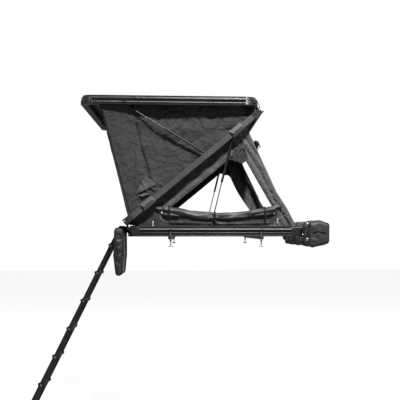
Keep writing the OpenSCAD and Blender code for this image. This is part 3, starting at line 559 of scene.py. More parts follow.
def turnShape(centre, axis, outline, sides=24):  # outline of (along, radius) turned about an axis
    axis = np.asarray(axis, float) / np.linalg.norm(axis)
    side = np.cross(axis, [0, 0, 1.0] if abs(axis[2]) < 0.9 else [1.0, 0, 0])
    side /= np.linalg.norm(side)
    other = np.cross(axis, side)
    points, faces, k = [], [], len(outline)
    for i in range(sides):
        a = 2 * math.pi * i / sides
        for along, radius in outline:
            points.append(np.asarray(centre) + axis * along
                          + (side * math.cos(a) + other * math.sin(a)) * radius)
    for i in range(sides):
        for j in range(k - 1):
            faces.append((i * k + j, i * k + j + 1, (i + 1) % sides * k + j + 1, (i + 1) % sides * k + j))
    faces += [tuple(i * k for i in range(sides)), tuple(i * k + k - 1 for i in range(sides))[::-1]]
    return np.array(points), faces


def boxShape(centre, size, axes=None):
    axes = np.eye(3) if axes is None else np.asarray(axes, float)
    points = [np.asarray(centre) + sum(axes[k] * size[k] / 2 * s[k] for k in range(3))
              for s in [(a, b, c) for c in (-1, 1) for b in (-1, 1) for a in (-1, 1)]]
    faces = [(0, 2, 3, 1), (4, 5, 7, 6), (0, 1, 5, 4), (2, 6, 7, 3), (0, 4, 6, 2), (1, 3, 7, 5)]
    return np.array(points), faces


def boltShape(centre, axis, radius, height):  # washer, hexagon and a shallow dome
    washer = turnShape(centre, axis,
                       [(0, radius * 1.35), (height * 0.18, radius * 1.35), (height * 0.22, radius * 1.25)],
                       24)
    base = np.asarray(centre) + np.asarray(axis, float) * height * 0.2
    head = turnShape(base, axis, [(0, radius), (height * 0.62, radius), (height * 0.8, radius * 0.82)], 6)
    return joined([washer, head])


def runAlong(line):  # length from the start to each point
    return np.concatenate([[0], np.cumsum(np.linalg.norm(np.diff(line, axis=0), axis=1))])


def evenSteps(loop, count):  # even points round a closed outline
    closed = np.concatenate([loop, loop[:1]])
    run = runAlong(closed)
    want = np.linspace(0, run[-1], count, endpoint=False)
    return np.stack([np.interp(want, run, closed[:, k]) for k in range(2)], axis=1)


def smoothLine(points, count):  # even points on a smooth curve through the given ones
    points = np.asarray(points, float)
    full = np.concatenate([2 * points[:1] - points[1:2], points, 2 * points[-1:] - points[-2:-1]])
    fine = []
    for k in range(len(points) - 1):
        p0, p1, p2, p3 = full[k:k + 4]
        for t in np.linspace(0, 1, 24, endpoint=False):
            fine.append(0.5 * (2 * p1 + (p2 - p0) * t + (2 * p0 - 5 * p1 + 4 * p2 - p3) * t * t
                               + (3 * p1 - p0 - 3 * p2 + p3) * t ** 3))
    fine = np.array(fine + [points[-1]])
    run = runAlong(fine)
    want = np.linspace(0, run[-1], count)
    return np.stack([np.interp(want, run, fine[:, k]) for k in range(points.shape[1])], axis=1)


# fabric relief
def smooth(x, low, high):
    t = np.clip((x - low) / (high - low), 0, 1)
    return t * t * (3 - 2 * t)


quiltStitch = {"pitch": 0.20, "wander": 0.95, "length": 0.38, "seed": 91, "puff": 0.0062}


def ripples(a, b, seed, length, toward, spread=0.5, count=7):  # drifting folds about one direction
    draw = np.random.default_rng(seed)
    total = 0.0
    for _ in range(count):
        turn = toward + spread * draw.normal()
        k = 2 * np.pi / (length * draw.uniform(0.6, 1.7))
        bend = (0.5 * np.sin(2 * np.pi * (b * np.cos(turn) - a * np.sin(turn)) / (length * 3.1)
                             + draw.uniform(0, 6.28)))
        total = total + np.sin(k * (a * np.cos(turn) + b * np.sin(turn)) + bend + draw.uniform(0, 6.28))
    return total / math.sqrt(count)


def quilt(a, b):  # wandering stitch rows that part and meet, 0 on a row and up to 1 between rows
    drift = ripples(a, b, quiltStitch["seed"], quiltStitch["length"], 0.0, 3.0, 9)
    return np.abs(np.sin(np.pi * (b / quiltStitch["pitch"] + quiltStitch["wander"] * drift))) ** 0.45


def creased(value):  # turns soft ripples into folds with a sharp ridge
    return 1.0 - 1.6 * np.abs(np.tanh(value))


# a layer of relief is its depth, then the seed, length, direction and spread of its ripples
def waveLayer(a, b, layer):
    return layer[0] * ripples(a, b, *layer[1:])


def foldLayer(a, b, layer):
    return layer[0] * creased(ripples(a, b, *layer[1:]))


def segmentAway(a, b, p, q):  # distance from a line between two points, and the share along it
    p, q = np.asarray(p, float), np.asarray(q, float)
    d = q - p
    t = np.clip(((a - p[0]) * d[0] + (b - p[1]) * d[1]) / (d @ d), 0, 1)
    return np.hypot(a - p[0] - t * d[0], b - p[1] - t * d[1]), t


# soft pieces about a hinge pin: each point's share of the fold is worked out, but no point is turned
def fanFold(obj, pin, toTop):
    co = pointsOf(obj)
    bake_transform(obj)
    dx, dz = co[:, 0] - pin[0], co[:, 2] - pin[2]
    if toTop:
        share = 1 - np.arctan2(-dz, -dx) / openAngle
    else:
        share = np.arctan2(dz, dx) / openAngle
    share = np.clip(share, 0, 1)
    return obj


def foldLow(obj):
    return fanFold(obj, pinLow, False)


def foldHigh(obj):
    return fanFold(obj, pinHigh, True)


# a dressed piece that rides a body, given by name, or is handed to a function
def put(name, shape, finish, sharp, carry, stands=None, bevel=0.0):
    obj = makeObject(name, shape, finish, sharp, bevel)
    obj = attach(obj, carry) if isinstance(carry, str) else carry(obj)
    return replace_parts(obj, stands) if stands else obj


sideNames = {-1: "Near", 1: "Far"}

# upper side walls: quilted cloth from the arm track to the roof, with a gusset
upperWall = {"columns": 240, "rows": 170, "thick": 0.004, "pleat": 0.005, "gusset": 0.015,
             "apex": (-0.703, 1.043), "leftLeg": (-0.712, 0.461), "rightLeg": (-0.572, 0.524),
             "crease": [(-0.701, 1.036), (-0.698, 1.010), (-0.683, 0.946), (-0.650, 0.814), (-0.602, 0.674),
                        (-0.572, 0.530)],
             "wave": [(-1.02, 0.058), (-0.86, 0.044), (-0.76, 0.022), (-0.70, 0.0), (-0.62, -0.014),
                      (-0.51, -0.033), (-0.45, -0.025), (-0.36, -0.008),
                      (-0.25, 0.0), (-0.10, -0.006), (-0.025, -0.017), (0.055, -0.004), (0.14, 0.012),
                      (0.30, 0.0)], "waveDrop": 0.27,
             "hollow": 0.020, "flat": (1.48, 1.02), "fullness": 1.04,
             "saddleFolds": (0.010, 11, 0.085, 0.9, 0.45), "broadFolds": (0.0035, 13, 0.16, 1.3, 0.7),
             "footFolds": (0.006, 5, 0.10, 1.9, 0.3), "drift": (0.004, 3, 0.30, 0.8, 0.8)}
wallFootLeft = onArm(0.071, 0.0274)
wallFootRight = onArm(1.483, 0.0274)
roofLeft = np.array([topLow[0] + topHigh[0], 0, 0]) / 2 - np.array([halfX - 0.157, 0, 0])
roofLeft[2] = roofFace - 0.0006
roofRight = np.array([wallFootRight[0] - 0.110, 0, roofFace - 0.0006])


def roofWave(x, z):  # how far the cloth stands out below the roof
    line = np.interp(x, [p[0] for p in upperWall["wave"]], [p[1] for p in upperWall["wave"]])
    return line * np.exp(-((roofLeft[2] - z) / upperWall["waveDrop"]) ** 2)


def upperRelief(x, z, s, t):
    pinned = smooth(s, 0, 0.05) * smooth(1 - s, 0, 0.05) * smooth(t, 0, 0.06) * smooth(1 - t, 0, 0.05)
    fan = np.cos(2 * np.pi * 5 * np.arctan2(1.02 - t, s + 0.12) / (np.pi / 2))
    slack = np.sin(np.pi * s) * np.sin(np.pi * t)
    lift = slack * (upperWall["pleat"] * fan + 0.004)
    apex, left, right = upperWall["apex"], upperWall["leftLeg"], upperWall["rightLeg"]
    down = np.clip((apex[1] - z) / (apex[1] - left[1]), 0, 1.3)  # the gusset leans between two sharp folds
    lineLeft, lineRight = apex[0] + (left[0] - apex[0]) * down, apex[0] + (right[0] - apex[0]) * down
    share = np.clip((x - lineLeft) / np.maximum(lineRight - lineLeft, 1e-4), 0, 1)
    inside = (smooth(x, lineLeft - 0.004, lineLeft + 0.004)
              * (1 - smooth(x, lineRight - 0.005, lineRight + 0.005)))
    ends = smooth(down, 0.03, 0.3) * (1 - smooth(down, 0.98, 1.12))
    lift = lift + inside * ends * upperWall["gusset"] * (0.30 - 1.3 * share)
    for leg in (left, right):
        away, along = segmentAway(x, z, apex, leg)
        lift = lift - 0.006 * np.exp(-(away / 0.007) ** 2) * smooth(along, 0, 0.1)
    near = np.hypot((x + 0.600) / 0.10, (z - 0.470) / 0.075)
    lift = lift + foldLayer(x, z, upperWall["saddleFolds"]) * np.exp(-near ** 4)
    lift = lift + foldLayer(x, z, upperWall["broadFolds"]) * (1 - 0.6 * (1 - smooth(x, -0.75, -0.65)))
    low = np.exp(-(t / 0.16) ** 2)
    lift = lift + foldLayer(x, z, upperWall["footFolds"]) * low
    lift = lift + waveLayer(x, z, upperWall["drift"])
    hollow = upperWall["hollow"] * np.exp(-((x + 0.40) / 0.30) ** 2 - ((z - 0.86) / 0.20) ** 2)
    free = smooth(t, 0, 0.06) * smooth(1 - t, 0, 0.02) * smooth(1 - s, 0, 0.05)
    puff = quiltStitch["puff"] * (0.7 + 1.2 * smooth(z - 1.02 + 0.62 * (x + 0.70), 0.0, 0.10))
    return (np.clip(pinned * lift, -0.022, 0.022) - pinned * hollow + free * roofWave(x, z)
            + pinned ** 0.5 * puff * quilt(x, z))


def upperPoint(s, t):
    low = wallFootLeft * (1 - s)[..., None] + wallFootRight * s[..., None]
    high = roofLeft * (1 - s)[..., None] + roofRight * s[..., None]
    p = low * (1 - t)[..., None] + high * t[..., None]
    return p[..., 0], p[..., 2]


def upperShare(x, z):  # s and t of a place on the wall, by a few steps of Newton's method
    s, t = np.full_like(x, 0.5), np.full_like(x, 0.5)
    for _ in range(12):
        px, pz = upperPoint(s, t)
        e = 1e-4
        ax, az = upperPoint(s + e, t)
        bx, bz = upperPoint(s, t + e)
        a, c, b, d = (ax - px) / e, (az - pz) / e, (bx - px) / e, (bz - pz) / e
        det = a * d - b * c
        s = s + (d * (x - px) - b * (z - pz)) / det
        t = t + (a * (z - pz) - c * (x - px)) / det
    return s, t


def onUpperWall(line, side, proud):  # places given in x and z, set on the face of an upper wall
    line = np.asarray(line, float)
    s, t = upperShare(line[:, 0], line[:, 1])
    y = side * (wallY + upperRelief(line[:, 0], line[:, 1], s, t) + upperWall["thick"] / 2 + proud)
    return np.stack([line[:, 0], y, line[:, 1]], axis=1)


def makeUpperWall(side):
    s, t = np.meshgrid(np.linspace(0, 1, upperWall["columns"]), np.linspace(0, 1, upperWall["rows"]))
    x, z = upperPoint(s, t)
    y = side * (wallY + upperRelief(x, z, s, t))
    obj = put("upperWall" + sideNames[side], clothShape(np.stack([x, y, z], axis=2), upperWall["thick"]),
              "wallFabric", 60, foldHigh, stands="upper_walls")
    extras = makeUpperTrim(side)


# slack cloth over the lower saddle of an upper wall, as lines in x and z
looseFold = {"tops": [(-0.700, 0.412), (-0.659, 0.492), (-0.615, 0.556), (-0.572, 0.523), (-0.534, 0.496)],
             "lows": [(-0.705, 0.398), (-0.660, 0.418), (-0.624, 0.434), (-0.580, 0.458), (-0.537, 0.478)],
             "tucks": [(-0.684, 0.396), (-0.655, 0.402), (-0.630, 0.409), (-0.612, 0.409), (-0.590, 0.405)],
             "under": [(-0.690, 0.384), (-0.662, 0.380), (-0.640, 0.378), (-0.620, 0.386), (-0.596, 0.396)],
             "proud": 0.021}


def acrossLine(line):  # unit steps square to a line in x and z
    t = tangents(line)
    return np.stack([-t[:, 1], np.zeros(len(t)), t[:, 0]], axis=1)


def makeUpperTrim(side):
    made, rows = [], []
    crease = smoothLine(upperWall["crease"], 70)  # painted shade: a dark strip along the tuck on the right side of the gusset, where the tuck lies in shadow
    wide = 0.0180 * np.sin(np.pi * np.linspace(0.04, 0.96, 70)) ** 0.5 * np.linspace(1.1, 0.6, 70)
    path = onUpperWall(crease, side, 0.0030)
    step = acrossLine(crease) * wide[:, None] / 2
    rows.append(clothShape(np.array([path - step, path + [0, side * 0.0012, 0], path + step]), 0.0016))
    # piping down the left edge
    edge = [upperPoint(np.array(0.004), np.array(t)) for t in np.linspace(0.01, 0.99, 90)]
    rows.append(tubeShape(onUpperWall(np.array(edge), side, 0.001), 0.0045, 8))
    seam = smoothLine([upperWall["apex"], upperWall["leftLeg"]], 60)  # seam on the left side of the gusset
    rows.append(tubeShape(onUpperWall(seam, side, 0.0002), 0.0016, 6))
    edge = [upperPoint(np.array(s), np.array(0.985)) for s in np.linspace(0.01, 0.99, 60)]
    rows.append(tubeShape(onUpperWall(np.array(edge), side, 0.001), 0.0045, 8))
    piping = put("upperPiping" + sideNames[side], joined(rows), "webbing", 60, foldHigh)
    made.append(piping)
    folds = []  # slack cloth that stands off the wall over the lower saddle
    for high, low, reach in ((looseFold["tops"], looseFold["lows"], 1.0),
                             (looseFold["tucks"], looseFold["under"], 0.8)):
        high, low = smoothLine(high, 40), smoothLine(low, 40)
        grid = []
        for v in np.linspace(0, 1, 18):
            edge = high * (1 - v) + low * v
            ends = np.sin(np.pi * np.linspace(0.03, 0.97, 40)) ** 0.5
            lift = (looseFold["proud"] * reach * ends * (v ** 1.2)
                    + 0.004 * v * np.sin(np.linspace(0, 13, 40) + 3 * v))
            place = onUpperWall(edge, side, 0.0012)
            place[:, 1] = side * np.minimum(np.abs(place[:, 1] + side * lift), wallY + 0.027)
            grid.append(place)
        folds.append(clothShape(np.array(grid), 0.0026))
    # painted light: the slack cloth wears a lighter copy of the wall fabric, for the light on its upturned
    # face
    fold = put("looseFold" + sideNames[side], joined(folds), "foldFabric", 60, foldHigh)
    made.append(fold)
    return made


for side in (-1, 1):
    makeUpperWall(side)
print("upper walls hung")

# entrance wall at the left end, with an arched door zip
entrance = {"columns": 220, "rows": 110, "thick": 0.004, "fold": 0.007, "doorHalf": 0.52, "doorFoot": 0.10,
            "doorTop": 0.86,
            "allowance": 0.03,
            "footFolds": (0.005, 21, 0.16, 1.35, 0.35), "drift": (0.003, 23, 0.35, 0.4, 0.9)}
entranceLow = onArm(0.0591, 0.010 + 0.050 * 0.64)
entranceHalf = wallY - 0.0024


def entranceGrid(s, t, proud=0.0):  # s across, t up
    p = entranceLow * (1 - t)[..., None] + roofLeft * t[..., None]
    y = ((entranceHalf + smooth(t, 0, 0.06) * smooth(1 - t, 0, 0.02) * roofWave(p[..., 0], p[..., 2]))
         * (2 * s - 1))
    pinned = smooth(s, 0, 0.04) * smooth(1 - s, 0, 0.04) * smooth(t, 0, 0.06) * smooth(1 - t, 0, 0.05)
    lift = -entrance["fold"] * np.cos(8 * np.pi * s) * np.sin(np.pi * t) * np.sin(np.pi * s)
    lift = lift + foldLayer(y, p[..., 2], entrance["footFolds"]) * np.exp(-(t / 0.2) ** 2)
    lift = lift + waveLayer(y, p[..., 2], entrance["drift"])
    run = roofLeft - entranceLow
    length = np.linalg.norm(run)
    lift = pinned * lift + pinned ** 0.5 * quiltStitch["puff"] * quilt(y, t * length) + proud
    normal = np.array([-run[2], 0, run[0]]) / length
    return np.stack([p[..., 0] + normal[0] * lift, y, p[..., 2] + normal[2] * lift], axis=-1), normal


def makeEntranceWall():
    s, t = np.meshgrid(np.linspace(0, 1, entrance["columns"]), np.linspace(0, 1, entrance["rows"]))
    grid, normal = entranceGrid(s, t)
    obj = put("entranceWall", clothShape(grid, entrance["thick"]), "wallFabric", 60, foldHigh,
              stands="entrance_wall")
    h, low, top = entrance["doorHalf"], entrance["doorFoot"], entrance["doorTop"]
    arch = [(-h, low), (-h, 0.4), (-h * 0.98, 0.62), (-h * 0.78, top - 0.06), (-h * 0.4, top),
            (0, top + 0.01),
            (h * 0.4, top), (h * 0.78, top - 0.06), (h * 0.98, 0.62), (h, 0.4), (h, low)]
    line = smoothLine([(0.5 + a / (2 * entranceHalf), b) for a, b in arch], 220)
    path, _ = entranceGrid(line[:, 0], line[:, 1], 0.0034)
    along = tangents(path)
    side = np.cross(along, normal)
    tape = loftShape(path, side, normal, tapeProfile(0.026, 0.0024))
    coil = path + normal * (0.002 + 0.0008 * np.cos(np.arange(len(path)) * np.pi))[:, None]
    teeth = loftShape(coil, side, normal, tapeProfile(0.008, 0.004))
    sill = np.stack([np.linspace(line[0, 0], line[-1, 0], 90), np.full(90, low)], axis=1)
    sillPath, _ = entranceGrid(sill[:, 0], sill[:, 1], 0.0034)
    sillTape = loftShape(sillPath, np.cross(tangents(sillPath), normal), normal, tapeProfile(0.030, 0.0024))
    pulls = []
    for k in (60, 160):
        p = path[k] + normal * 0.006
        pulls.append(boxShape(p, (0.010, 0.016, 0.014)))
        pulls.append(loftShape([p + [0, 0, -0.004], p + [-0.004, 0, -0.05]], [0, 1, 0], normal,
                               tapeProfile(0.008, 0.002)))
    zipObj = put("doorZip", joined([tape, teeth, sillTape] + pulls), "zipCoil", 45, foldHigh)
    rows = []
    for k in (0.004, 0.996):
        edge, _ = entranceGrid(np.full(60, k), np.linspace(0.01, 0.99, 60), 0.001)
        rows.append(tubeShape(edge, 0.0045, 8))
    edge, _ = entranceGrid(np.linspace(0.01, 0.99, 150), np.full(150, 0.985), 0.001)
    edge[:, 2] += 0.003 * np.cos(np.linspace(0, 60, 150))
    rows.append(tubeShape(edge, 0.006, 8))
    piping = put("entrancePiping", joined(rows), "hemFabric", 60, foldHigh)
    strips = []  # bindings that close both corners to the side walls
    toward = (wallFootLeft - entranceLow) / np.linalg.norm(wallFootLeft - entranceLow)
    for side in (-1, 1):
        t = np.linspace(0.002, 0.985, 90)
        a, _ = entranceGrid(np.full(90, (side + 1) / 2), t)
        b = onUpperWall(np.stack(upperPoint(np.zeros(90), t), axis=1), side, -upperWall["thick"] / 2)
        strips.append(clothShape(np.array([a - toward * 0.003, a, (a + b) / 2, b, b + toward * 0.006]),
                                 0.0030))
    binding = put("cornerBinding", joined(strips), "wallFabric", 60, foldHigh)


makeEntranceWall()
print("entrance wall hung")

# lower side walls with a rounded triangular window
lowerWall = {"around": 420, "deep": 26, "thick": 0.004, "fold": 0.007, "band": 0.012, "pleat": 0.062,
             "corner": 0.045, "sill": 0.046,
             "lean": 0.575, "drop": 0.150, "fullness": 1.03, "crumple": (1.0, 31, 0.060, 0.6, 0.5),
             "peakFolds": (0.011, 35, 0.055, 2.5, 0.4), "cornerFolds": (0.004, 37, 0.055, 2.4, 0.3),
             "drift": (0.003, 39, 0.24, 0.7, 0.9),
             "seams": [[(0.533, 0.297), (0.538, 0.225), (0.542, 0.136)],
                       [(0.565, 0.261), (0.618, 0.207), (0.672, 0.127)],
                       [(-0.40, 0.135), (0.0, 0.130), (0.52, 0.133)]]}
spreadU = 1.364
wallTopRight = onArm(spreadU, 0.0146)
wallTopLeft = onArm(0.075, 0.0146)
floorTop = spanOf("floor_panel")[1][2]
panelHalf = spanOf("floor_panel")[1][0]
sillZ = rim + lowerWall["sill"]
footLeft, footRight = -panelHalf + 0.030, panelHalf - 0.012


def windowCorners():
    line = onArm(0, 0.035 - lowerWall["drop"])
    left = line[0] + (sillZ - line[2]) / math.tan(openAngle)
    right = panelHalf - 0.015 - 0.118
    top = sillZ + (right - left) / (1 / math.tan(openAngle) + lowerWall["lean"])
    return np.array([[left, sillZ], [right, sillZ], [right - lowerWall["lean"] * (top - sillZ), top]])


def roundedLoop(corners, radius, steps):
    loop, n = [], len(corners)
    for i in range(n):
        p, a, b = corners[i], corners[i - 1] - corners[i], corners[(i + 1) % n] - corners[i]
        a, b = a / np.linalg.norm(a), b / np.linalg.norm(b)
        half = math.acos(a @ b) / 2
        mid = (a + b) / np.linalg.norm(a + b)
        centre = p + mid * radius / math.sin(half)
        start, end = p + a * radius / math.tan(half), p + b * radius / math.tan(half)
        for k in range(steps + 1):
            w = start + (end - start) * k / steps - centre
            loop.append(centre + w / np.linalg.norm(w) * radius)
    return np.array(loop)


def rayHits(mid, angles, loop):
    nxt = np.roll(loop, -1, axis=0)
    hits = np.full(len(angles), 1e9)
    d = np.stack([np.cos(angles), np.sin(angles)], axis=1)
    for p, q in zip(loop - mid, nxt - mid):
        e = q - p
        cross = d[:, 0] * e[1] - d[:, 1] * e[0]
        cross = np.where(np.abs(cross) < 1e-9, 1e-9, cross)
        far = (p[0] * e[1] - p[1] * e[0]) / cross
        share = (p[0] * d[:, 1] - p[1] * d[:, 0]) / cross
        ok = (far > 0) & (share > -1e-6) & (share < 1 + 1e-6)
        hits = np.where(ok, np.minimum(hits, far), hits)
    return hits


def evenAngles(mid, loop, count):  # rays that meet a loop at even steps along it
    pts = evenSteps(loop, count) - mid
    return np.arctan2(pts[:, 1], pts[:, 0])


def bulged(share, proud):  # a place on the right edge of the wall, which swells past a straight line
    return (footRight + (wallTopRight[0] - footRight) * share + proud,
            floorTop + (wallTopRight[2] - floorTop) * share)


windowLoop = roundedLoop(windowCorners(), lowerWall["corner"], 10)
windowMid = windowLoop.mean(axis=0)
lowerLoop = np.array([(footLeft, floorTop + 0.001), (footRight, floorTop + 0.001),
                      (footRight + 0.012, rim + 0.018),
                      *(bulged(t, b) for t, b in ((0.2457, 0.042), (0.399, 0.0154), (0.716, 0.018),
                                                  (0.966, 0.0194))),
                      (wallTopRight[0], wallTopRight[2]), (wallTopLeft[0], wallTopLeft[2])])


def rightStrip(x, z):  # 1 on the strip to the right of the window
    peak = windowCorners()[2]
    return smooth(x - (peak[0] - 0.02 + (peak[1] - z) * lowerWall["lean"]), -0.02, 0.03)


def lowerRelief(x, z, k):  # k runs from 0 at the outer edge to 1 at the window
    pinned = smooth(k, 0, 0.10) * (0.35 + 0.65 * smooth(1 - k, 0, 0.25))
    angle = np.arctan2(z - windowMid[1], x - windowMid[0])
    lift = lowerWall["fold"] * np.sin(np.pi * k) * np.cos(11 * angle)
    peak = windowCorners()[2]
    strip = rightStrip(x, z)
    # from the window's edge
    square = (x - peak[0] - (peak[1] - z) * lowerWall["lean"]) / math.hypot(1, lowerWall["lean"])
    wander = 1.3 * np.sin(7.5 * z + 1.0) + 0.8 * np.sin(17 * z + 14 * x)
    pleats = np.abs(np.sin(np.pi * square / lowerWall["pleat"] + 0.6 + 0.55 * wander)) ** 0.6 - 0.6
    crumple = foldLayer(x, z, lowerWall["crumple"]) * (0.25 + 0.75 * smooth(0.50 - z, -0.05, 0.12))
    lift = lift * (1 - strip) + strip * lowerWall["band"] * (1.6 * pleats + 0.50 * crumple)
    gusset = np.exp(-(np.hypot(x - peak[0] + 0.01, z - peak[1] - 0.06) / 0.10) ** 2)
    lift = lift + gusset * foldLayer(x, z, lowerWall["peakFolds"])
    corner = np.exp(-(np.hypot(x - 0.61, z - 0.20) / 0.12) ** 2)
    lift = lift + corner * foldLayer(x, z, lowerWall["cornerFolds"])
    lift = lift + waveLayer(x, z, lowerWall["drift"])
    return np.clip(pinned * lift, -0.020, 0.020) + pinned * (1 - strip) * quiltStitch["puff"] * quilt(x, z)


def lowerPlaces(angles, k):  # a ring of places k of the way from the outer edge to the window
    outer, inner = rayHits(windowMid, angles, lowerLoop), rayHits(windowMid, angles, windowLoop)
    r = outer * (1 - k) + inner * k
    return windowMid[0] + r * np.cos(angles), windowMid[1] + r * np.sin(angles)


def onLowerWall(x, z, side, proud):
    angle = np.arctan2(z - windowMid[1], x - windowMid[0])
    outer, inner = rayHits(windowMid, angle, lowerLoop), rayHits(windowMid, angle, windowLoop)
    k = np.clip((outer - np.hypot(x - windowMid[0], z - windowMid[1])) / np.maximum(outer - inner, 1e-6), 0,
                1)
    y = side * (wallY + lowerRelief(x, z, k) + lowerWall["thick"] / 2 + proud)
    return np.stack([x, y, z], axis=-1)


windowHem = {"slant": 0.050, "plain": 0.020, "lift": 0.0030, "inward": 0.062}
topGusset = {"high": [(0.112, 0.752), (0.150, 0.796), (0.185, 0.826), (0.247, 0.866)],
             "low": [(0.100, 0.716), (0.128, 0.703), (0.146, 0.708), (0.170, 0.690), (0.196, 0.692),
                     (0.222, 0.676), (0.252, 0.684), (0.284, 0.716)], "folds": (0.013, 47, 0.052, 2.75, 0.22)}


def makeLowerWall(side):
    angles = np.sort(np.unique(np.concatenate([evenAngles(windowMid, windowLoop, lowerWall["around"]),
                                                evenAngles(windowMid, lowerLoop, lowerWall["around"] // 2)])))
    rings = []
    for k in np.linspace(0, 1, lowerWall["deep"]):
        x, z = lowerPlaces(angles, k)
        rings.append(np.stack([x, side * (wallY + lowerRelief(x, z, np.full_like(x, k))), z], axis=1))
    obj = makeObject("lowerWall" + sideNames[side], clothShape(np.array(rings), lowerWall["thick"], True),
                     "wallFabric", 60)
    # painted light: the strip to the right of the window wears the lighter hem fabric, standing in for the
    # light that falls on it
    obj.data.materials.append(finishes["hemFabric"])
    for polygon in obj.data.polygons:
        x, _, z = polygon.center
        polygon.material_index = int(rightStrip(x + 0.11 * smooth(sillZ + 0.11 - z, 0, 0.10), z) > 0.5)
    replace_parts(foldLow(obj), "lower_walls")

    slant = windowCorners()[2] - windowCorners()[0]  # hem: wide under the arm, narrow elsewhere
    slant /= np.linalg.norm(slant)
    square = np.array([-slant[1], slant[0]])
    edgeAngles = evenAngles(windowMid, windowLoop, 300)
    inner = rayHits(windowMid, edgeAngles, windowLoop)
    edge = np.stack([windowMid[0] + inner * np.cos(edgeAngles), windowMid[1] + inner * np.sin(edgeAngles)],
                    axis=1)
    onSlant = (smooth(((edge - windowCorners()[0]) @ square), -0.06, -0.02)
               * smooth(edge[:, 1], sillZ + 0.02, sillZ + 0.09))
    away = edge - windowMid
    away /= np.linalg.norm(away, axis=1, keepdims=True)
    toward = away * (1 - onSlant)[:, None] + square * onSlant[:, None]
    wide = windowHem["plain"] + (windowHem["slant"] - windowHem["plain"]) * onSlant
    inward = np.full(len(edge), 0.002)  # the far cover leaves a deeper border at the right and at the top
    if side > 0:
        inward = (inward + windowHem["inward"] * (1 - onSlant)
                  * smooth(edge[:, 0], windowMid[0] - 0.02, windowMid[0] + 0.10)
                  * smooth(edge[:, 1], sillZ + 0.01, sillZ + 0.05))
    rows = []
    for k in np.concatenate([[-1.0, -0.5], np.linspace(0, 1, 8)]):
        p = edge + (toward * (wide * k)[:, None] if k >= 0 else away * inward[:, None] * k)
        lift = windowHem["lift"] * math.sin(math.pi * min(max(k, 0.02), 0.98)) ** 0.4
        lift = lift + 0.0012 * np.cos(np.arange(len(p)) * 0.9) * math.sin(math.pi * max(k, 0))
        q = onLowerWall(p[:, 0], p[:, 1], side, 0.0012)
        q[:, 1] += side * lift
        rows.append(q)
    hem = put("windowHem" + sideNames[side], clothShape(np.array(rows), 0.0024, True), "hemFabric", 60,
              foldLow)

    seams = []  # stitch rows beside the hem, the upright seam and the gusset seam near the right end
    for k in (0.12, 0.88):
        p = edge + toward * (wide * k)[:, None]
        seams.append(tubeShape(onLowerWall(p[:, 0], p[:, 1], side, 0.0052), 0.0012, 6, True))
    for line in lowerWall["seams"]:
        p = smoothLine(line, 60)
        seams.append(tubeShape(onLowerWall(p[:, 0], p[:, 1], side, 0.001), 0.0028, 8))
    seam = put("lowerSeams" + sideNames[side], joined(seams), "webbing", 60, foldLow)
    high, low = smoothLine(topGusset["high"], 60), smoothLine(topGusset["low"], 60)
    grid = []  # bunched cloth in the top corner of the window
    for v in np.linspace(0, 1, 34):
        p = high * (1 - v) + low * v
        fold = foldLayer(p[:, 0], p[:, 1], topGusset["folds"]) * math.sin(math.pi * min(v + 0.12, 0.95))
        place = onLowerWall(p[:, 0], p[:, 1], side, 0.004)
        place[:, 1] = side * np.minimum(wallY + 0.009 + fold + 0.004 * math.sin(math.pi * v), wallY + 0.024)
        grid.append(place)
    gusset = put("windowGusset" + sideNames[side], clothShape(np.array(grid), 0.003), "wallFabric", 60,
                 foldLow)


for side in (-1, 1):
    makeLowerWall(side)


hingeFlap = {"side": 0.006, "thick": 0.003, "drift": (0.003, 27, 0.16, 0.2, 0.4)}


def makeHingeFlap():  # closes the slit inside the lower hinges
    y = np.linspace(-wallY + hingeFlap["side"], wallY - hingeFlap["side"], 120)
    rows = []
    for v in np.linspace(0, 1, 14):
        x, z = footLeft + (wallTopLeft[0] - footLeft) * v, floorTop + 0.001 + (wallTopLeft[2] - floorTop) * v
        fold = waveLayer(y, np.full_like(y, z), hingeFlap["drift"]) * math.sin(math.pi * v)
        rows.append(np.stack([x + fold, y, np.full_like(y, z)], axis=1))
    obj = put("hingeFlap", clothShape(np.array(rows), hingeFlap["thick"]), "wallFabric", 60, foldLow)


makeHingeFlap()
print("lower walls hung")

# rolled window covers, their ties, corner flaps and toggles
windowRoll = {"radius": 0.040, "left": 0.085, "right": 0.045, "sag": 0.080, "middle": 0.044, "inset": 0.013,
              "step": 0.032,
              "steps": 170, "sides": 44, "ties": (0.06, 0.46, 0.90), "footFolds": (0.004, 43, 0.12, 1.3, 0.4),
              "toggles": ((-0.475, 0.250), (-0.554, 0.135), (0.520, 0.247), (0.550, 0.163))}


# wound cloth that sags between its ends
def rollShape(ends, middle, radius, seed, steps, sides, lump=0.07, forth=(0, 0, 0)):
    start, end = np.asarray(ends[0], float), np.asarray(ends[1], float)
    along = (end - start) / np.linalg.norm(end - start)
    up = np.array([0, 0, 1.0])
    out = np.cross(along, up)
    rows = []
    for k in range(steps):
        s = 2 * k / (steps - 1) - 1
        centre = start + (end - start) * (s + 1) / 2 + up * middle * (s * s - 1) + np.asarray(forth) * s ** 4
        a = np.linspace(0, 2 * np.pi, sides, endpoint=False)
        ease = math.sqrt(max(0.0, 1 - abs(s) ** 16))
        twist = 2.2 * s
        r = (radius * (0.30 + 0.70 * ease) * (1 - 0.30 * s ** 4)
             * (1 + lump * ripples(a * 0.5, np.full_like(a, s * 2.2), seed, 0.9, 1.2, 0.7)))
        fold = np.mod(a + twist, 2 * np.pi) / (2 * np.pi)
        r = r * (0.94 + 0.12 * fold)  # the loose edge of the wound cloth makes a step
        r = r * (1 + 0.05 * np.sin(3 * a + 9 * s) + 0.03 * np.sin(5 * a - 17 * s))
        flat = 1 - 0.10 * (np.sin(a) < -0.6)
        rows.append(centre + out * (r * np.cos(a))[:, None] + up * (r * np.sin(a) * flat)[:, None])
    return np.concatenate(rows), ringFaces(steps, sides)


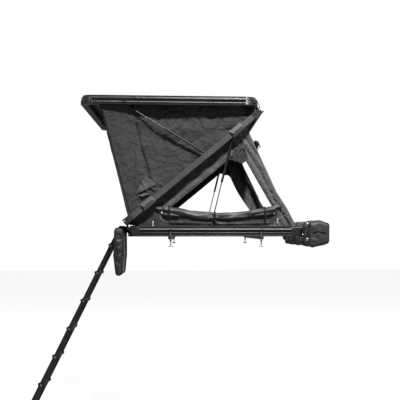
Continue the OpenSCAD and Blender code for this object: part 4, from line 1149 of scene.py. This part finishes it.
def strapLoop(centre, along, radius, width, high=1.0):  # a webbing loop round a roll
    along = np.asarray(along, float)
    up = np.array([0, 0, 1.0])
    out = np.cross(along, up)
    a = np.linspace(0, 2 * np.pi, 40, endpoint=False)
    path = centre + out * (radius * np.cos(a))[:, None] + up * (radius * high * np.sin(a))[:, None]
    radial = out * np.cos(a)[:, None] + up * np.sin(a)[:, None]
    return loftShape(path, along, radial, tapeProfile(width, 0.0026), True)


def toggleShape(centre):  # a short bar with a waisted middle
    outline = [(-0.024, 0.0), (-0.0235, 0.006), (-0.015, 0.0088), (-0.005, 0.0068), (0, 0.0056),
               (0.005, 0.0068),
               (0.015, 0.0088), (0.0235, 0.006), (0.024, 0.0)]
    return turnShape(np.asarray(centre), (0.10, 0, 1), outline, 14)


def makeWindowRoll(side):
    left, right = windowCorners()[0][0] + windowRoll["left"], windowCorners()[1][0] - windowRoll["right"]
    r, sag = windowRoll["radius"], windowRoll["sag"]
    y = side * (wallY - windowRoll["inset"])
    high = sillZ + windowRoll["middle"] + sag
    shape = rollShape([(left, y, high), (right, y, high)], sag, r, 41, windowRoll["steps"],
                      windowRoll["sides"], 0.10, (0, side * windowRoll["step"], 0))
    roll = put("windowRoll" + sideNames[side], shape, "rollFabric", 60, foldLow,
               stands="window_rolls")

    ties = []
    for share in windowRoll["ties"]:
        s = 2 * share - 1
        centre = np.array([left + (right - left) * share, y + side * windowRoll["step"] * s ** 4,
                           high + sag * (s * s - 1)])
        r = windowRoll["radius"] * (1 - 0.30 * s ** 4)
        ties.append(strapLoop(centre, (1, 0, 0), r * 1.13, 0.016, 1.06))
        drop = smoothLine([centre + [0, side * r * 1.1, -0.01],
                           centre + [0.004, side * (r * 1.1 + 0.004), -0.045],
                           centre + [0.010, side * (r * 1.05), -0.078]], 14)
        ties.append(loftShape(drop, [1, 0, 0], [0, side, 0], tapeProfile(0.014, 0.0022)))
        ties.append(boxShape(centre + [0, side * (r * 1.2), -0.004], (0.022, 0.007, 0.016)))
    put("rollTies" + sideNames[side], joined(ties), "webbing", 45, foldLow)

    flaps = []  # loose corners of the cover, drawn up to the window's corners
    for foot, tip, lean in (((left + 0.15, sillZ + 0.050), (left - 0.060, sillZ + 0.128), 0.012),
                            ((right - 0.19, sillZ + 0.055), (right + 0.050, sillZ + 0.148), 0.012)):
        grid = []
        u = np.linspace(0, 1, 44)
        half = 0.034 * np.sin(np.pi * (0.05 + 0.87 * u)) ** 0.8
        for v in np.linspace(-1, 1, 26):
            x = foot[0] + (tip[0] - foot[0]) * u
            z = foot[1] + (tip[1] - foot[1]) * u ** 1.3 + half * v
            bulge = 0.012 * (1 - v * v) * (1 - 0.5 * u) + 0.005 * np.sin(9 * u + 4 * v)
            grid.append(np.stack([x, side * (wallY + lean + bulge + 0.012 * u), z], axis=1))
        flaps.append(clothShape(np.array(grid), 0.003))
    x = np.linspace(left - 0.03, right + 0.02, 120)  # the cover's foot, from the sill up to the roll
    share = np.clip(2 * (x - left) / (right - left) - 1, -1.05, 1.05)
    middle = high + sag * (share ** 2 - 1)
    grid = []
    for v in np.linspace(0, 1, 14):
        z = (sillZ - 0.012) * (1 - v) + middle * v
        fold = foldLayer(x, z, windowRoll["footFolds"]) * math.sin(math.pi * v)
        grid.append(np.stack([x, side * (wallY + 0.0045 - windowRoll["inset"] * v + fold), z], axis=1))
    flaps.append(clothShape(np.array(grid), 0.0024))
    flapShape = joined(flaps)
    flap = put("rollFlaps" + sideNames[side], flapShape, "rollFabric", 60, foldLow)

    toggles, loops = [], []
    for x, z in windowRoll["toggles"]:
        p = onLowerWall(np.array([x]), np.array([z]), side, 0.012)[0]
        toggles.append(toggleShape(p))
        path = smoothLine([p + [0.0, -side * 0.010, 0.030], p + [0.006, side * 0.001, 0.016],
                           p + [0, side * 0.006, 0.0],
                           p + [-0.006, side * 0.001, -0.016], p + [0.0, -side * 0.010, -0.030]], 24)
        loops.append(tubeShape(path, 0.0022, 8))
    put("toggles" + sideNames[side], joined(toggles), "toggleWhite", 45, foldLow)
    put("toggleLoops" + sideNames[side], joined(loops), "webbing", 45, foldLow)


for side in (-1, 1):
    makeWindowRoll(side)
print("window covers rolled")

# right end wall with a wide window and its rolled cover above
rightWall = {"around": 460, "deep": 18, "thick": 0.004, "fold": 0.006, "inset": 0.095, "low": 0.124,
             "high": 0.786, "corner": 0.07,
             "fullness": 1.02, "folds": (0.005, 51, 0.09, 1.2, 0.6), "drift": (0.003, 53, 0.3, 0.5, 0.9),
             "ties": (-0.66, -0.22, 0.22, 0.66)}
rightHalf = wallY - 0.002 - 0.0084
endRise = wallTopRight[2] - rim
openLow, openHigh = rim + rightWall["low"] * endRise, rim + rightWall["high"] * endRise
rightOuter = np.array([(-rightHalf, floorTop + 0.001), (rightHalf, floorTop + 0.001),
                       (rightHalf, wallTopRight[2]),
                       (-rightHalf, wallTopRight[2])])
inHalf = rightHalf - rightWall["inset"]
rightLoop = roundedLoop(np.array([(-inHalf, openLow), (inHalf, openLow), (inHalf, openHigh),
                                  (-inHalf, openHigh)]), rightWall["corner"], 8)
rightMid = rightLoop.mean(axis=0)
rightSlope = (wallTopRight[0] - (panelHalf - 0.015)) / (wallTopRight[2] - floorTop)


def rightPlace(y, z, lift):
    x = panelHalf - 0.015 + (z - floorTop) * rightSlope
    run = math.hypot(1, rightSlope)
    return np.stack([x + lift / run, y, z - lift * rightSlope / run], axis=-1)


def rightRelief(y, z, k):
    pinned = smooth(k, 0, 0.12) * (0.35 + 0.65 * smooth(1 - k, 0, 0.3))
    angle = np.arctan2(z - rightMid[1], y - rightMid[0])
    lift = rightWall["fold"] * np.sin(np.pi * k) * np.cos(13 * angle)
    lift = lift + foldLayer(y, z, rightWall["folds"]) + waveLayer(y, z, rightWall["drift"])
    return pinned * lift + pinned * quiltStitch["puff"] * quilt(y, z)


def makeRightWall():
    angles = np.sort(np.unique(np.concatenate([evenAngles(rightMid, rightLoop, rightWall["around"]),
                                                evenAngles(rightMid, rightOuter, rightWall["around"] // 2)])))
    outer, inner = rayHits(rightMid, angles, rightOuter), rayHits(rightMid, angles, rightLoop)
    rings = []
    for k in np.linspace(0, 1, rightWall["deep"]):
        r = outer * (1 - k) + inner * k
        y, z = rightMid[0] + r * np.cos(angles), rightMid[1] + r * np.sin(angles)
        rings.append(rightPlace(y, z, rightRelief(y, z, np.full_like(y, k))))
    obj = put("rightWall", clothShape(np.array(rings), rightWall["thick"], True), "wallFabric", 60, foldLow,
              stands="right_wall")
    edge = np.stack([rightMid[0] + inner * np.cos(angles), rightMid[1] + inner * np.sin(angles)], axis=1)
    away = (edge - rightMid) / np.linalg.norm(edge - rightMid, axis=1, keepdims=True)
    rows = []
    for k in np.linspace(-0.05, 1, 8):
        p = edge + away * 0.030 * k
        lift = 0.0038 + 0.003 * math.sin(math.pi * min(max(k, 0.02), 0.98)) ** 0.4
        rows.append(rightPlace(p[:, 0], p[:, 1], lift + rightRelief(p[:, 0], p[:, 1], np.full(len(p), 0.9))))
    hem = put("rightHem", clothShape(np.array(rows), 0.0024, True), "hemFabric", 60, foldLow)

    z = openHigh + 0.036
    r = windowRoll["radius"]
    middle = rightPlace(np.array(0.0), np.array(z), r + 0.010)
    ends = [middle + [0, -inHalf, 0.004], middle + [0, inHalf, 0.004]]
    roll = put("rightRoll", rollShape(ends, 0.006, r, 47, 180, 40), "rollFabric", 60, foldLow,
               stands="right_window_roll")
    ties = []
    for y in rightWall["ties"]:
        ties.append(strapLoop(middle + [0, y, 0.0], (0, 1, 0), r * 1.13, 0.018, 1.05))
        ties.append(boxShape(middle + [r * 1.2, y, -0.006], (0.007, 0.026, 0.018)))
    put("rightTies", joined(ties), "webbing", 45, foldLow)


makeRightWall()
print("right wall hung")

# soffit between the spreader and the upper crossbar
soffit = {"columns": 160, "rows": 10, "depth": 0.107, "thick": 0.0028}


def makeSoffit():
    half = wallY - 0.0064
    rows = []
    for u in np.linspace(spreadU + 0.0205, 1.4885, soffit["rows"]):
        y = np.linspace(-half, half, soffit["columns"])
        share = (u - spreadU) / 0.125
        lift = 0.0205 + 0.002 * np.sin(np.pi * share) * quilt(y, np.full_like(y, u))
        rows.append([onArm(u, v, yy) for v, yy in zip(lift, y)])
    obj = put("endSoffit", clothShape(np.array(rows), soffit["thick"]), "wallFabric", 60, "frame",
              stands="end_soffit")


makeSoffit()

# mattress: a crowned pad with sewn channels, sides drawn in, and piping round both edges
mattress = {"columns": 90, "rows": 150, "channels": 6, "stitch": 0.010, "low": 0.35, "high": 0.55,
            "drift": (0.0015, 61, 0.12, 0.3, 0.8)}


def makeMattress():
    low, high = spanOf("mattress")
    half, thick = (high - low) / 2, high[2] - low[2] + 0.0005
    nx, ny = mattress["columns"], mattress["rows"]
    a, b = np.meshgrid(np.linspace(-1, 1, nx), np.linspace(-1, 1, ny))
    edge = (1 - np.abs(a) ** 8) * (1 - np.abs(b) ** 10)
    inner = np.clip(edge, 0, 1) ** 0.35
    sewn = np.abs(np.cos(math.pi / 2 * mattress["channels"] * (b + 1))) ** 10 * inner
    wrinkle = waveLayer(a * half[0], b * half[1], mattress["drift"]) * inner
    top = (low[2] + thick * (mattress["high"] + (1 - mattress["high"]) * inner) - mattress["stitch"] * sewn
           + wrinkle - 0.002)
    bottom = low[2] + 0.0005 + thick * mattress["low"] * (1 - inner)
    x = a * half[0] * (1 - 0.012 * (1 - b * b))
    y = b * half[1] * (1 - 0.008 * (1 - a * a))
    points = np.concatenate([np.stack([x, y, top], 2).reshape(-1, 3),
                             np.stack([x, y, bottom], 2).reshape(-1, 3)])
    n, faces = nx * ny, []
    for j in range(ny - 1):
        for i in range(nx - 1):
            q = (j * nx + i, j * nx + i + 1, (j + 1) * nx + i + 1, (j + 1) * nx + i)
            faces += [q, tuple(n + k for k in q[::-1])]
    border = list(range(nx)) + [j * nx + nx - 1 for j in range(1, ny)]
    border += [(ny - 1) * nx + i for i in range(nx - 2, -1, -1)] + [j * nx for j in range(ny - 2, 0, -1)]
    for k, p in enumerate(border):
        q = border[(k + 1) % len(border)]
        faces.append((p, n + p, n + q, q))
    obj = put("mattressPad", (points, faces), "mattressCover", 60, "base",
              stands="mattress")
    loops = [tubeShape(points[np.array(border)[::2]], 0.0032, 8, True),
             tubeShape(points[np.array(border)[::2] + n], 0.0032, 8, True)]
    put("mattressPiping", joined(loops), "webbing", 60, "base")


makeMattress()
print("mattress laid")


# bags: soft outlines that swell and crease, with bound seams, zips, straps and eyelets
def bagShape(outline, ends, edge, swell, seed, dents, stations=150):
    # an outline in x and z carried along y, with rounded, slightly domed ends
    loop = np.asarray(outline, float)
    centre = loop.mean(axis=0)
    away = loop - centre
    reach = np.linalg.norm(away, axis=1, keepdims=True)
    way = away / reach
    run = runAlong(loop)
    y0, y1 = ends
    rows = []
    inner = away * (1 - edge / reach)
    for f in np.linspace(0.03, 1, 12):
        flat = centre + inner * f
        lump = (dents * (0.8 * ripples(flat[:, 0], flat[:, 1], seed, 0.11, 0.8, 0.8)
                         + 0.6 * creased(ripples(flat[:, 0], flat[:, 1], seed + 3, 0.09, 2.0, 0.6))))
        rows.append((flat, np.full(len(loop), y0) - swell * (1 - f * f) + lump * (1 - f ** 6)))
    for a in np.radians((20, 45, 70)):
        rows.append((centre + away * (1 - edge * (1 - math.sin(a)) / reach),
                     np.full(len(loop), y0 + edge * (1 - math.cos(a)))))
    count = len(rows)
    for y in np.linspace(y0 + edge, y1 - edge, stations):
        lump = (dents * (creased(ripples(run, np.full_like(run, y), seed + 5, 0.13, 1.1, 0.5))
                         + 0.8 * ripples(run, np.full_like(run, y), seed + 7, 0.3, 0.4, 0.9)))
        rows.append((loop + way * lump[:, None], np.full(len(loop), y)))
    for flat, y in reversed(rows[:count]):
        rows.append((flat, y0 + y1 - y))
    points = np.concatenate([np.stack([f[:, 0], y, f[:, 1]], axis=1) for f, y in rows])
    return points, ringFaces(len(rows), len(loop))


bagCloth = {"voxel": 0.008, "frames": 20, "pressure": 4.0, "grow": 0.02, "tension": 40.0, "bending": 0.4,
            "cap": 0.008}


def swellCloth(obj, rows, zipHeld=None):  # blows the bag up as cloth between its seams, straps and zip
    even = obj.modifiers.new("evenMesh", "REMESH")
    even.mode, even.voxel_size, even.use_smooth_shade = "VOXEL", bagCloth["voxel"], True
    applyModifier(obj, even)
    rest = pointsOf(obj)
    group = obj.vertex_groups.new(name="sewn")
    held = np.any([np.abs(rest[:, 1] - y) < half for y, half in rows], axis=0)
    if zipHeld is not None:
        held |= zipHeld(rest)
    group.add([int(i) for i in np.nonzero(held)[0]], 1.0, "REPLACE")
    cloth = obj.modifiers.new("swell", "CLOTH")
    cloth.settings.quality = 5
    cloth.settings.use_pressure = True
    cloth.settings.uniform_pressure_force = bagCloth["pressure"]
    cloth.settings.shrink_min = -bagCloth["grow"]
    cloth.settings.tension_stiffness = bagCloth["tension"]
    cloth.settings.bending_stiffness = bagCloth["bending"]
    cloth.settings.vertex_group_mass = group.name
    cloth.settings.effector_weights.gravity = 0.0
    cloth.collision_settings.use_collision = False
    cloth.point_cache.frame_start, cloth.point_cache.frame_end = 1, bagCloth["frames"]
    for k in range(1, bagCloth["frames"] + 1):
        scene.frame_set(k)
    step = pointsOf(obj.evaluated_get(bpy.context.evaluated_depsgraph_get())) - rest
    far = np.linalg.norm(step, axis=1, keepdims=True)
    step = step * np.minimum(1.0, bagCloth["cap"] / np.maximum(far, 1e-9))
    obj.modifiers.remove(cloth)
    obj.vertex_groups.remove(group)
    scene.frame_set(1)
    obj.data.vertices.foreach_set("co", (rest + step).astype(np.float32).ravel())
    obj.data.update()
    print("swelled", obj.name, len(rest), "points, mean move", round(float(far.mean()), 4), "largest",
          round(float(far.max()), 4))


def evenLoop(corners, radius, count):  # even points round an outline with rounded corners
    return evenSteps(roundedLoop(np.asarray(corners, float), radius, 8), count)


def grownLoop(loop, by):
    away = loop - loop.mean(axis=0)
    return loop + away / np.linalg.norm(away, axis=1, keepdims=True) * by


bootBag = {"swell": 0.006, "dents": 0.0045, "corner": 0.024, "edge": 0.016, "taper": 0.018, "seam": 0.016,
           "straps": (0.58, 0.92)}


def makeBootBag():
    low, high = spanOf("boot_bag")
    right = -halfX - 0.035
    t = bootBag["taper"]
    seams = (low[1] + bootBag["seam"], high[1] - bootBag["seam"])
    straps = [low[1] + share * (high[1] - low[1]) for share in bootBag["straps"]]
    corners = [(low[0] + t, low[2] + 0.004), (right - t, low[2] + 0.004), (right - 0.004, low[2] + 0.18),
               (right - 0.004, high[2] - 0.004),
               (low[0] + 0.006, high[2] - 0.004), (low[0] + 0.002, low[2] + 0.18)]
    outline = evenLoop(corners, bootBag["corner"], 110)
    bag = makeObject("bootBag", bagShape(outline, (low[1] + 0.004, high[1] - 0.004), bootBag["edge"],
                                         bootBag["swell"], 71, bootBag["dents"]), "bootFabric", 60)
    swellCloth(bag, [(y, 0.008) for y in seams] + [(y, 0.022) for y in straps])
    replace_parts(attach(bag, "base"), "boot_bag")
    bits = []
    seam = grownLoop(outline, 0.001)
    for y in seams:  # bound seams round both ends
        bits.append(tubeShape(np.column_stack([seam[:, 0], np.full(len(seam), y), seam[:, 1]]), 0.0042, 8,
                              True))
    for y in straps:  # straps that hang the bag from the rail
        line = smoothLine([(-halfX - 0.001, y, rim - 0.032), (-halfX - 0.020, y, rim - 0.0315),
                           (right - 0.012, y, rim - 0.006), (right - 0.042, y, rim - 0.0015),
                           (low[0] + 0.012, y, rim - 0.006), (low[0] - 0.003, y, rim - 0.060),
                           (low[0] - 0.006, y, rim - 0.230)], 50)
        bits.append(loftShape(line, [0, 1, 0], np.cross(tangents(line), [0, 1, 0]),
                              tapeProfile(0.036, 0.0030)))
        bits.append(boxShape((low[0] - 0.008, y, rim - 0.130), (0.010, 0.046, 0.030)))
    put("bootStraps", joined(bits), "webbing", 45, "base")
    ring = [(0.0, 0.006), (0.0020, 0.0075), (0.0020, 0.0115), (0.0, 0.0125), (-0.004, 0.0125),
            (-0.004, 0.006), (0.0, 0.006)]
    eyes = [turnShape((low[0] + 0.026, low[1] - 0.001, rim - 0.034), (0, -1, 0), ring, 24),
            turnShape((low[0] + 0.026, high[1] + 0.001, rim - 0.034), (0, 1, 0), ring, 24)]
    put("bootEyelets", joined(eyes), "zincSteel", 40, "base")


sideBag = {"swell": 0.006, "dents": 0.0050, "corner": 0.022, "edge": 0.016, "keel": 0.034, "seam": 0.014,
           "straps": (-0.62, 0.0, 0.62), "zipRise": 0.008}


def makeSideBag():
    low, high = spanOf("side_bag")
    corners = [(low[0] + 0.002, low[2] - sideBag["keel"]), (low[0] + 0.075, low[2] - sideBag["keel"] * 0.45),
               (high[0] - 0.004, low[2] + 0.004),
               (high[0] - 0.002, high[2] - 0.022), (high[0] - 0.070, high[2] - 0.002),
               (low[0] + 0.002, high[2] - 0.010)]
    outline = evenLoop(corners, sideBag["corner"], 120)
    bag = makeObject("sideBag", bagShape(outline, (low[1] + 0.004, high[1] - 0.004), sideBag["edge"],
                                         sideBag["swell"], 81, sideBag["dents"], 220), "bagFabric", 60)
    cut = (low[2] + high[2]) / 2 + sideBag["zipRise"]
    seams = (low[1] + sideBag["seam"], high[1] - sideBag["seam"])

    def zipHeld(at):
        outer = (at[:, 0] > high[0] - 0.030) | (np.abs(at[:, 1]) > high[1] - 0.020)
        return (np.abs(at[:, 2] - cut) < 0.018) & outer

    swellCloth(bag, [(y, 0.008) for y in seams] + [(y, 0.024) for y in sideBag["straps"]], zipHeld)
    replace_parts(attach(bag, "base"), "side_bag")
    bits = []  # a zip across each end and along the outer side
    for y, out in ((low[1] - 0.0070, -1), (high[1] + 0.0070, 1)):
        line = np.stack([np.linspace(low[0] + 0.030, high[0] - 0.035, 40), np.full(40, y),
                         cut + 0.004 * np.sin(np.linspace(0, 5, 40))], axis=1)
        bits.append(loftShape(line, [0, 0, 1.0], [0, out, 0], tapeProfile(0.018, 0.0040)))
        bits.append(loftShape(line + [0, out * 0.002, 0], [0, 0, 1.0], [0, out, 0],
                              tapeProfile(0.007, 0.0040)))
    line = np.stack([np.full(120, high[0] + 0.001), np.linspace(low[1] + 0.03, high[1] - 0.03, 120),
                     cut + 0.004 * np.sin(np.linspace(0, 30, 120))], axis=1)
    bits.append(loftShape(line, [0, 0, 1.0], [1, 0, 0], tapeProfile(0.022, 0.0050)))
    bits.append(loftShape(line + [0.002, 0, 0], [0, 0, 1.0], [1, 0, 0], tapeProfile(0.008, 0.0050)))
    put("sideBagZip", joined(bits), "zipCoil", 45, "base")
    bits = []
    seam = grownLoop(outline, 0.001)
    for y in seams:  # bound seams at both ends
        bits.append(tubeShape(np.column_stack([seam[:, 0], np.full(len(seam), y), seam[:, 1]]), 0.0042, 8,
                              True))
    belt = grownLoop(outline, 0.005)
    way = outline - outline.mean(axis=0)
    way = np.stack([way[:, 0], 0 * way[:, 0], way[:, 1]], axis=1) / np.linalg.norm(way, axis=1, keepdims=True)
    for y in sideBag["straps"]:  # straps round the bag
        bits.append(loftShape(np.column_stack([belt[:, 0], np.full(len(belt), y), belt[:, 1]]), [0, 1, 0],
                              way, tapeProfile(0.038, 0.0034), True))
        bits.append(boxShape((high[0] + 0.006, y, cut + 0.050), (0.012, 0.052, 0.034)))
    put("sideBagTrim", joined(bits), "webbing", 45, "base")


makeBootBag()
makeSideBag()
print("bags hung")

# ball sockets over the strut studs, one pair for each strut
strutCaps = {"radius": 0.0115, "half": 0.0095}


def makeStrutCaps():
    for level in ("lower", "upper"):
        for name, side in (("near", -1), ("far", 1)):
            for part in ("tube", "rod"):
                node = f"{level}_strut_{part}_{name}"
                co = pointsOf(nodes[node])
                stud = np.array(joints[f"{level}_strut_{name}_swing"]["pos_m"])
                centre = stud.copy()
                if part == "rod":
                    flat = co[:, [0, 2]] - stud[[0, 2]]
                    tip = co[np.argmax(np.linalg.norm(flat, axis=1))]
                    reach = tip - stud
                    reach[1] = 0
                    centre = stud + reach * (1 - 0.009 / np.linalg.norm(reach))
                centre[1] = (co[:, 1].min() + co[:, 1].max()) / 2
                h, r = strutCaps["half"], strutCaps["radius"]
                outline = [(-h, 0.0), (-h, r * 0.5), (-h * 0.8, r * 0.8), (-h * 0.35, r), (h * 0.35, r),
                           (h * 0.8, r * 0.8), (h, r * 0.5), (h, 0.0)]
                put(f"{level}Strut{part.title()}Cap{sideNames[side]}",
                    turnShape(centre, (0, 1, 0), outline, 24), "sleevePlastic", 50, f"{level}_{part}_{name}")


makeStrutCaps()
print("strut ends capped")

# fasteners on the rails, the hinges and the brackets
fasteners = {"radius": 0.006, "height": 0.005, "hinge": 0.88}


def makeFasteners():
    r, h = fasteners["radius"], fasteners["height"]
    hingeY = fasteners["hinge"] * halfY / 1.075
    base, top = [], []
    for name, body, z0 in (("base_hinge_leaves", base, -1), ("top_hinge_leaves", top, 1)):
        low, high = spanOf(name)
        for y in (-hingeY, 0.0, hingeY):
            for dy in (-0.045, 0.045):
                z = low[2] + 0.012 if z0 < 0 else high[2] - 0.012
                x = high[0] - 0.003 if z0 < 0 else low[0] + 0.003
                body.append(boltShape((x, y + dy, z), (z0, 0, 0), r, h))
    dark = []
    low, high = spanOf("side_bag_brackets")
    for y in (low[1] + 0.028, 0.0, high[1] - 0.028):
        for z in (low[2] + 0.026, rim + 0.010):
            base.append(boltShape((high[0] - 0.005, y, z), (-1, 0, 0), r * 1.2, h))
        for dy in (-0.016, 0.016):
            base.append(boltShape((low[0] + 0.005, y + dy, rim - 0.064), (1, 0, 0), r, h))
    for side in (-1, 1):  # bolts that clamp the bag to the edge of its end brackets
        for z in (rim - 0.110, rim + 0.028):
            base.append(boltShape((high[0] - 0.016, side * (high[1] + 0.0005), z), (0, side, 0), r * 1.9,
                                  h * 1.6))
            dark.append(boxShape((high[0] - 0.010, side * (high[1] - 0.012), z), (0.020, 0.024, 0.050)))
        for x in (baseLow[0] + 0.03, baseHigh[0] - 0.03):
            shift = (topLow[0] + topHigh[0]) / 2
            dark.append(boltShape((x, side * halfY, baseLow[2] + 0.030), (0, side, 0), r * 0.7, h * 0.7))
            top.append(boltShape((x + shift, side * halfY, roofSeam + 0.030), (0, side, 0), r * 0.7, h * 0.7))
    put("bracketLugs", joined(dark), "blackSteel", 30, "base")
    put("baseFasteners", joined(base), "zincSteel", 30, "base")
    put("topFasteners", joined(top), "blackSteel", 30, "top")


makeFasteners()
print("fasteners set")

# grips and hoods on the latch bars
latchTrim = {"grip": 0.0062, "hood": 0.0095, "half": 0.017}
for name in ("near_left", "near_right", "far_left", "far_right"):
    low, high = spanOf("latch_" + name)
    y = (low[1] + high[1]) / 2
    r = latchTrim["grip"]
    grip = []
    for end, way in ((low[0], 1), (high[0], -1)):
        outline = [(-0.0015, 0.0), (-0.0015, r * 0.7), (0.0005, r), (0.0085, r), (0.0095, r * 0.85),
                   (0.0095, 0.0)]
        grip.append(turnShape((end, y, low[2] + 0.004), (way, 0, 0), outline, 18))
    words = "".join(w.title() for w in name.split("_"))
    h, b = latchTrim["half"], latchTrim["hood"]
    outline = [(-h, 0.0), (-h, b - 0.0015), (-h + 0.0015, b), (h - 0.0015, b), (h, b - 0.0015), (h, 0.0)]
    put("latchHood" + words, turnShape(joints[f"latch_{name}_swing"]["pos_m"], (1, 0, 0), outline, 24),
        "blackSteel", 40, "latch_" + name)
    put("latchGrip" + words, joined(grip), "latchSteel", 40, "latch_" + name)
print("latches gripped")

# thumb slides and clips on the ladder collars
ladderClips = {"wide": 0.022, "high": 0.018, "thick": 0.006}


def makeLadderClips():
    slide = np.array(joints["ladder_slide_1"]["axis"], float)
    slide /= np.linalg.norm(slide)
    square = np.array([-slide[2], 0, slide[0]])
    axes = [square, np.array([0, 1.0, 0]), slide]
    for k in range(1, 7):
        co = pointsOf(nodes[f"ladder_section_{k}"])
        bits, bright = [], []
        for side in (-1, 1):
            edge = side * np.max(co[:, 1] * side)
            rim = co[np.abs(co[:, 1] - edge) < 0.0004].mean(axis=0)  # halfway down the collar
            off = np.abs(co[:, 1] - edge)
            close = (off > 0.003) & (off < 0.010) & (np.abs((co - rim) @ slide) < 0.022)
            radius = np.max((((co[close] - rim) @ square) ** 2 + off[close] ** 2) / (2 * off[close]))
            middle = rim - np.array([0, side * radius, 0])
            for way in (-1, 1):
                bits.append(boxShape(middle + square * way * (radius + 0.001),
                                     (ladderClips["thick"], ladderClips["wide"], ladderClips["high"]), axes))
            bits.append(boxShape(rim - np.array([0, side * 0.001, 0]),
                                 (ladderClips["wide"], ladderClips["thick"], ladderClips["high"]), axes))
            bright.append(boxShape(rim + np.array([0, side * 0.0025, 0]), (0.014, 0.003, 0.012), axes))
            bright.append(turnShape(middle + square * (radius + 0.003), square,
                                    [(0, 0.0), (0, 0.006), (0.003, 0.0055), (0.004, 0.004), (0.004, 0.0)],
                                    16))
        put(f"ladderClips{k}", joined(bits), "ladderPlastic", 40, f"ladder_{k}", bevel=0.0015)
        put(f"ladderRivets{k}", joined(bright), "zincSteel", 40, f"ladder_{k}")


makeLadderClips()
print("ladder clips set")

# drawn beads along the faces of the side rails
railBeads = {"base": (0.007, 0.0295), "top": (0.0295,), "half": 0.0055, "proud": 0.0016, "lip": 0.022,
             "round": 0.010}


def makeRailBeads():
    h, p = railBeads["half"], railBeads["proud"]
    turn = np.linspace(-math.pi / 2, math.pi / 2, 13)
    profile = [(h * math.sin(a), p * math.cos(a)) for a in turn] + [(h, -0.001), (-h, -0.001)]
    for body, foot, up, low, high in (("base", baseLow[2], 1, baseLow, baseHigh),
                                      ("top", topHigh[2], -1, topLow, topHigh)):
        strips = []
        for side in (-1, 1):
            for z in railBeads[body]:
                line = [(x, side * halfY, foot + up * z)
                        for x in np.linspace(low[0] + 0.002, high[0] - 0.002, 40)]
                strips.append(loftShape(line, [0, 0, 1.0], [0, side, 0], profile))
        put(body + "RailBeads", joined(strips), "railBlack", 50, body)
        strips = []  # painted highlight: a lighter grey strip on the upper side of the lip, where the light catches it
        for side in (-1, 1):
            middle = foot + up * (high[2] - low[2] - railBeads["lip"])
            grid = []
            for a in np.radians(np.linspace(2, 52, 9)):
                reach = railBeads["round"] + 0.0006
                y, z = side * (halfY - railBeads["round"] + reach * math.cos(a)), middle + reach * math.sin(a)
                grid.append([(x, y, z) for x in np.linspace(low[0] + 0.002, high[0] - 0.002, 40)])
            strips.append(clothShape(np.array(grid), 0.0010))
        put(body + "RailEdges", joined(strips), "edgeGrey", 50, body)


makeRailBeads()
print("rail beads drawn")

# raised plates on the corner castings
cornerPlate = {"from": 14.0, "to": 76.0, "low": 0.014, "high": 0.060, "thick": 0.007}


def makeCornerPlates():
    r = halfX - baseHigh[0]
    castLow, castHigh = spanOf("base_corners")
    proud, tall = castHigh[0] - halfX, castHigh[2] - castLow[2]
    for body, foot, up, mid in (("base", baseLow[2], 1, 0.0),
                                ("top", roofSeam + tall, -1, (topLow[0] + topHigh[0]) / 2)):
        plates = []
        for sx in (-1, 1):
            for sy in (-1, 1):
                grid = []
                for h in np.linspace(cornerPlate["low"], cornerPlate["high"], 16):
                    a = np.radians(np.linspace(cornerPlate["from"], cornerPlate["to"], 34))
                    radius = r - 0.014 + (proud + 0.014) * min(1.0, h / (tall - 0.010)) + 0.0012
                    x = mid + sx * (halfX - r + radius * np.cos(a))
                    y = sy * (halfY - r + radius * np.sin(a))
                    grid.append(np.stack([x, y, np.full_like(a, foot + up * h)], axis=1))
                plates.append(clothShape(np.array(grid), cornerPlate["thick"]))
        put(body + "CornerPlates", joined(plates), "castBlack", 40, body, bevel=0.002)


makeCornerPlates()
print("corner plates set")

# rims and end caps on the arm sleeves
sleeveTrim = {"from": 0.014, "to": 0.073, "inset": 0.009}


def makeSleeveTrim():
    high = spanOf("frame_end_sleeves")[1]
    armEnd = np.linalg.norm((pinHigh - pinLow)[[0, 2]])
    rims, caps = [], []
    for side in (-1, 1):
        y = side * (high[1] + 0.0004)
        for start, way in ((0.009, 1), (math.sqrt(armEnd ** 2 - 0.070 ** 2) - 0.009, -1)):
            u0, u1 = start + way * sleeveTrim["from"], start + way * sleeveTrim["to"]
            v0, v1 = 0.010 + sleeveTrim["inset"], 0.060 - sleeveTrim["inset"]
            loop = np.array([onArm(u, v, y) for u,
                             v in roundedLoop(np.array([(min(u0, u1), v0), (max(u0, u1), v0),
                                                        (max(u0, u1), v1), (min(u0, u1), v1)]), 0.004, 4)])
            rims.append(tubeShape(loop, 0.0016, 8, True))
            ends = np.array([onArm(start - way * 0.0045, v, side * (high[1] - 0.0165))
                             for v in (0.007, 0.063)])
            along = onArm(1, 0) - onArm(0, 0)
            up = onArm(0, 1) - onArm(0, 0)
            caps.append(boxShape(ends.mean(axis=0), (0.003, 0.034, 0.052),
                                 [along, np.array([0, 1.0, 0]), up]))
            caps.append(turnShape(onArm(start + way * 0.0055, 0.044, side * (high[1] - 0.0005)),
                                  (0, side, 0), [(0, 0.0), (0, 0.0075), (0.002, 0.007), (0.0032, 0.004),
                                                 (0.0032, 0.0)], 18))
    put("sleeveRims", joined(rims), "greyFrame", 50, "frame")
    put("sleeveCaps", joined(caps), "zincSteel", 40, "frame", bevel=0.0012)


makeSleeveTrim()
print("sleeves trimmed")

# pull cord at the upper right corner of the top shell
pullCord = {"diameter": 0.007,  # steps are from the cord's upper end
            "steps": [(0.0, 0.0, 0.0), (0.014, -0.004, -0.026), (0.026, -0.010, -0.056),
                      (0.030, -0.012, -0.084),
                      (0.042, -0.014, -0.098), (0.070, -0.016, -0.106)]}


def makePullCord():
    top = np.array([topHigh[0] + 0.096, -halfY + 0.070, roofSeam + 0.062])
    line = smoothLine(top + np.array(pullCord["steps"]), 60)
    obj = put("pullCord", tubeShape(line, pullCord["diameter"] / 2, 12), "webbing", 50, "top")


makePullCord()
print("pull cord hung")
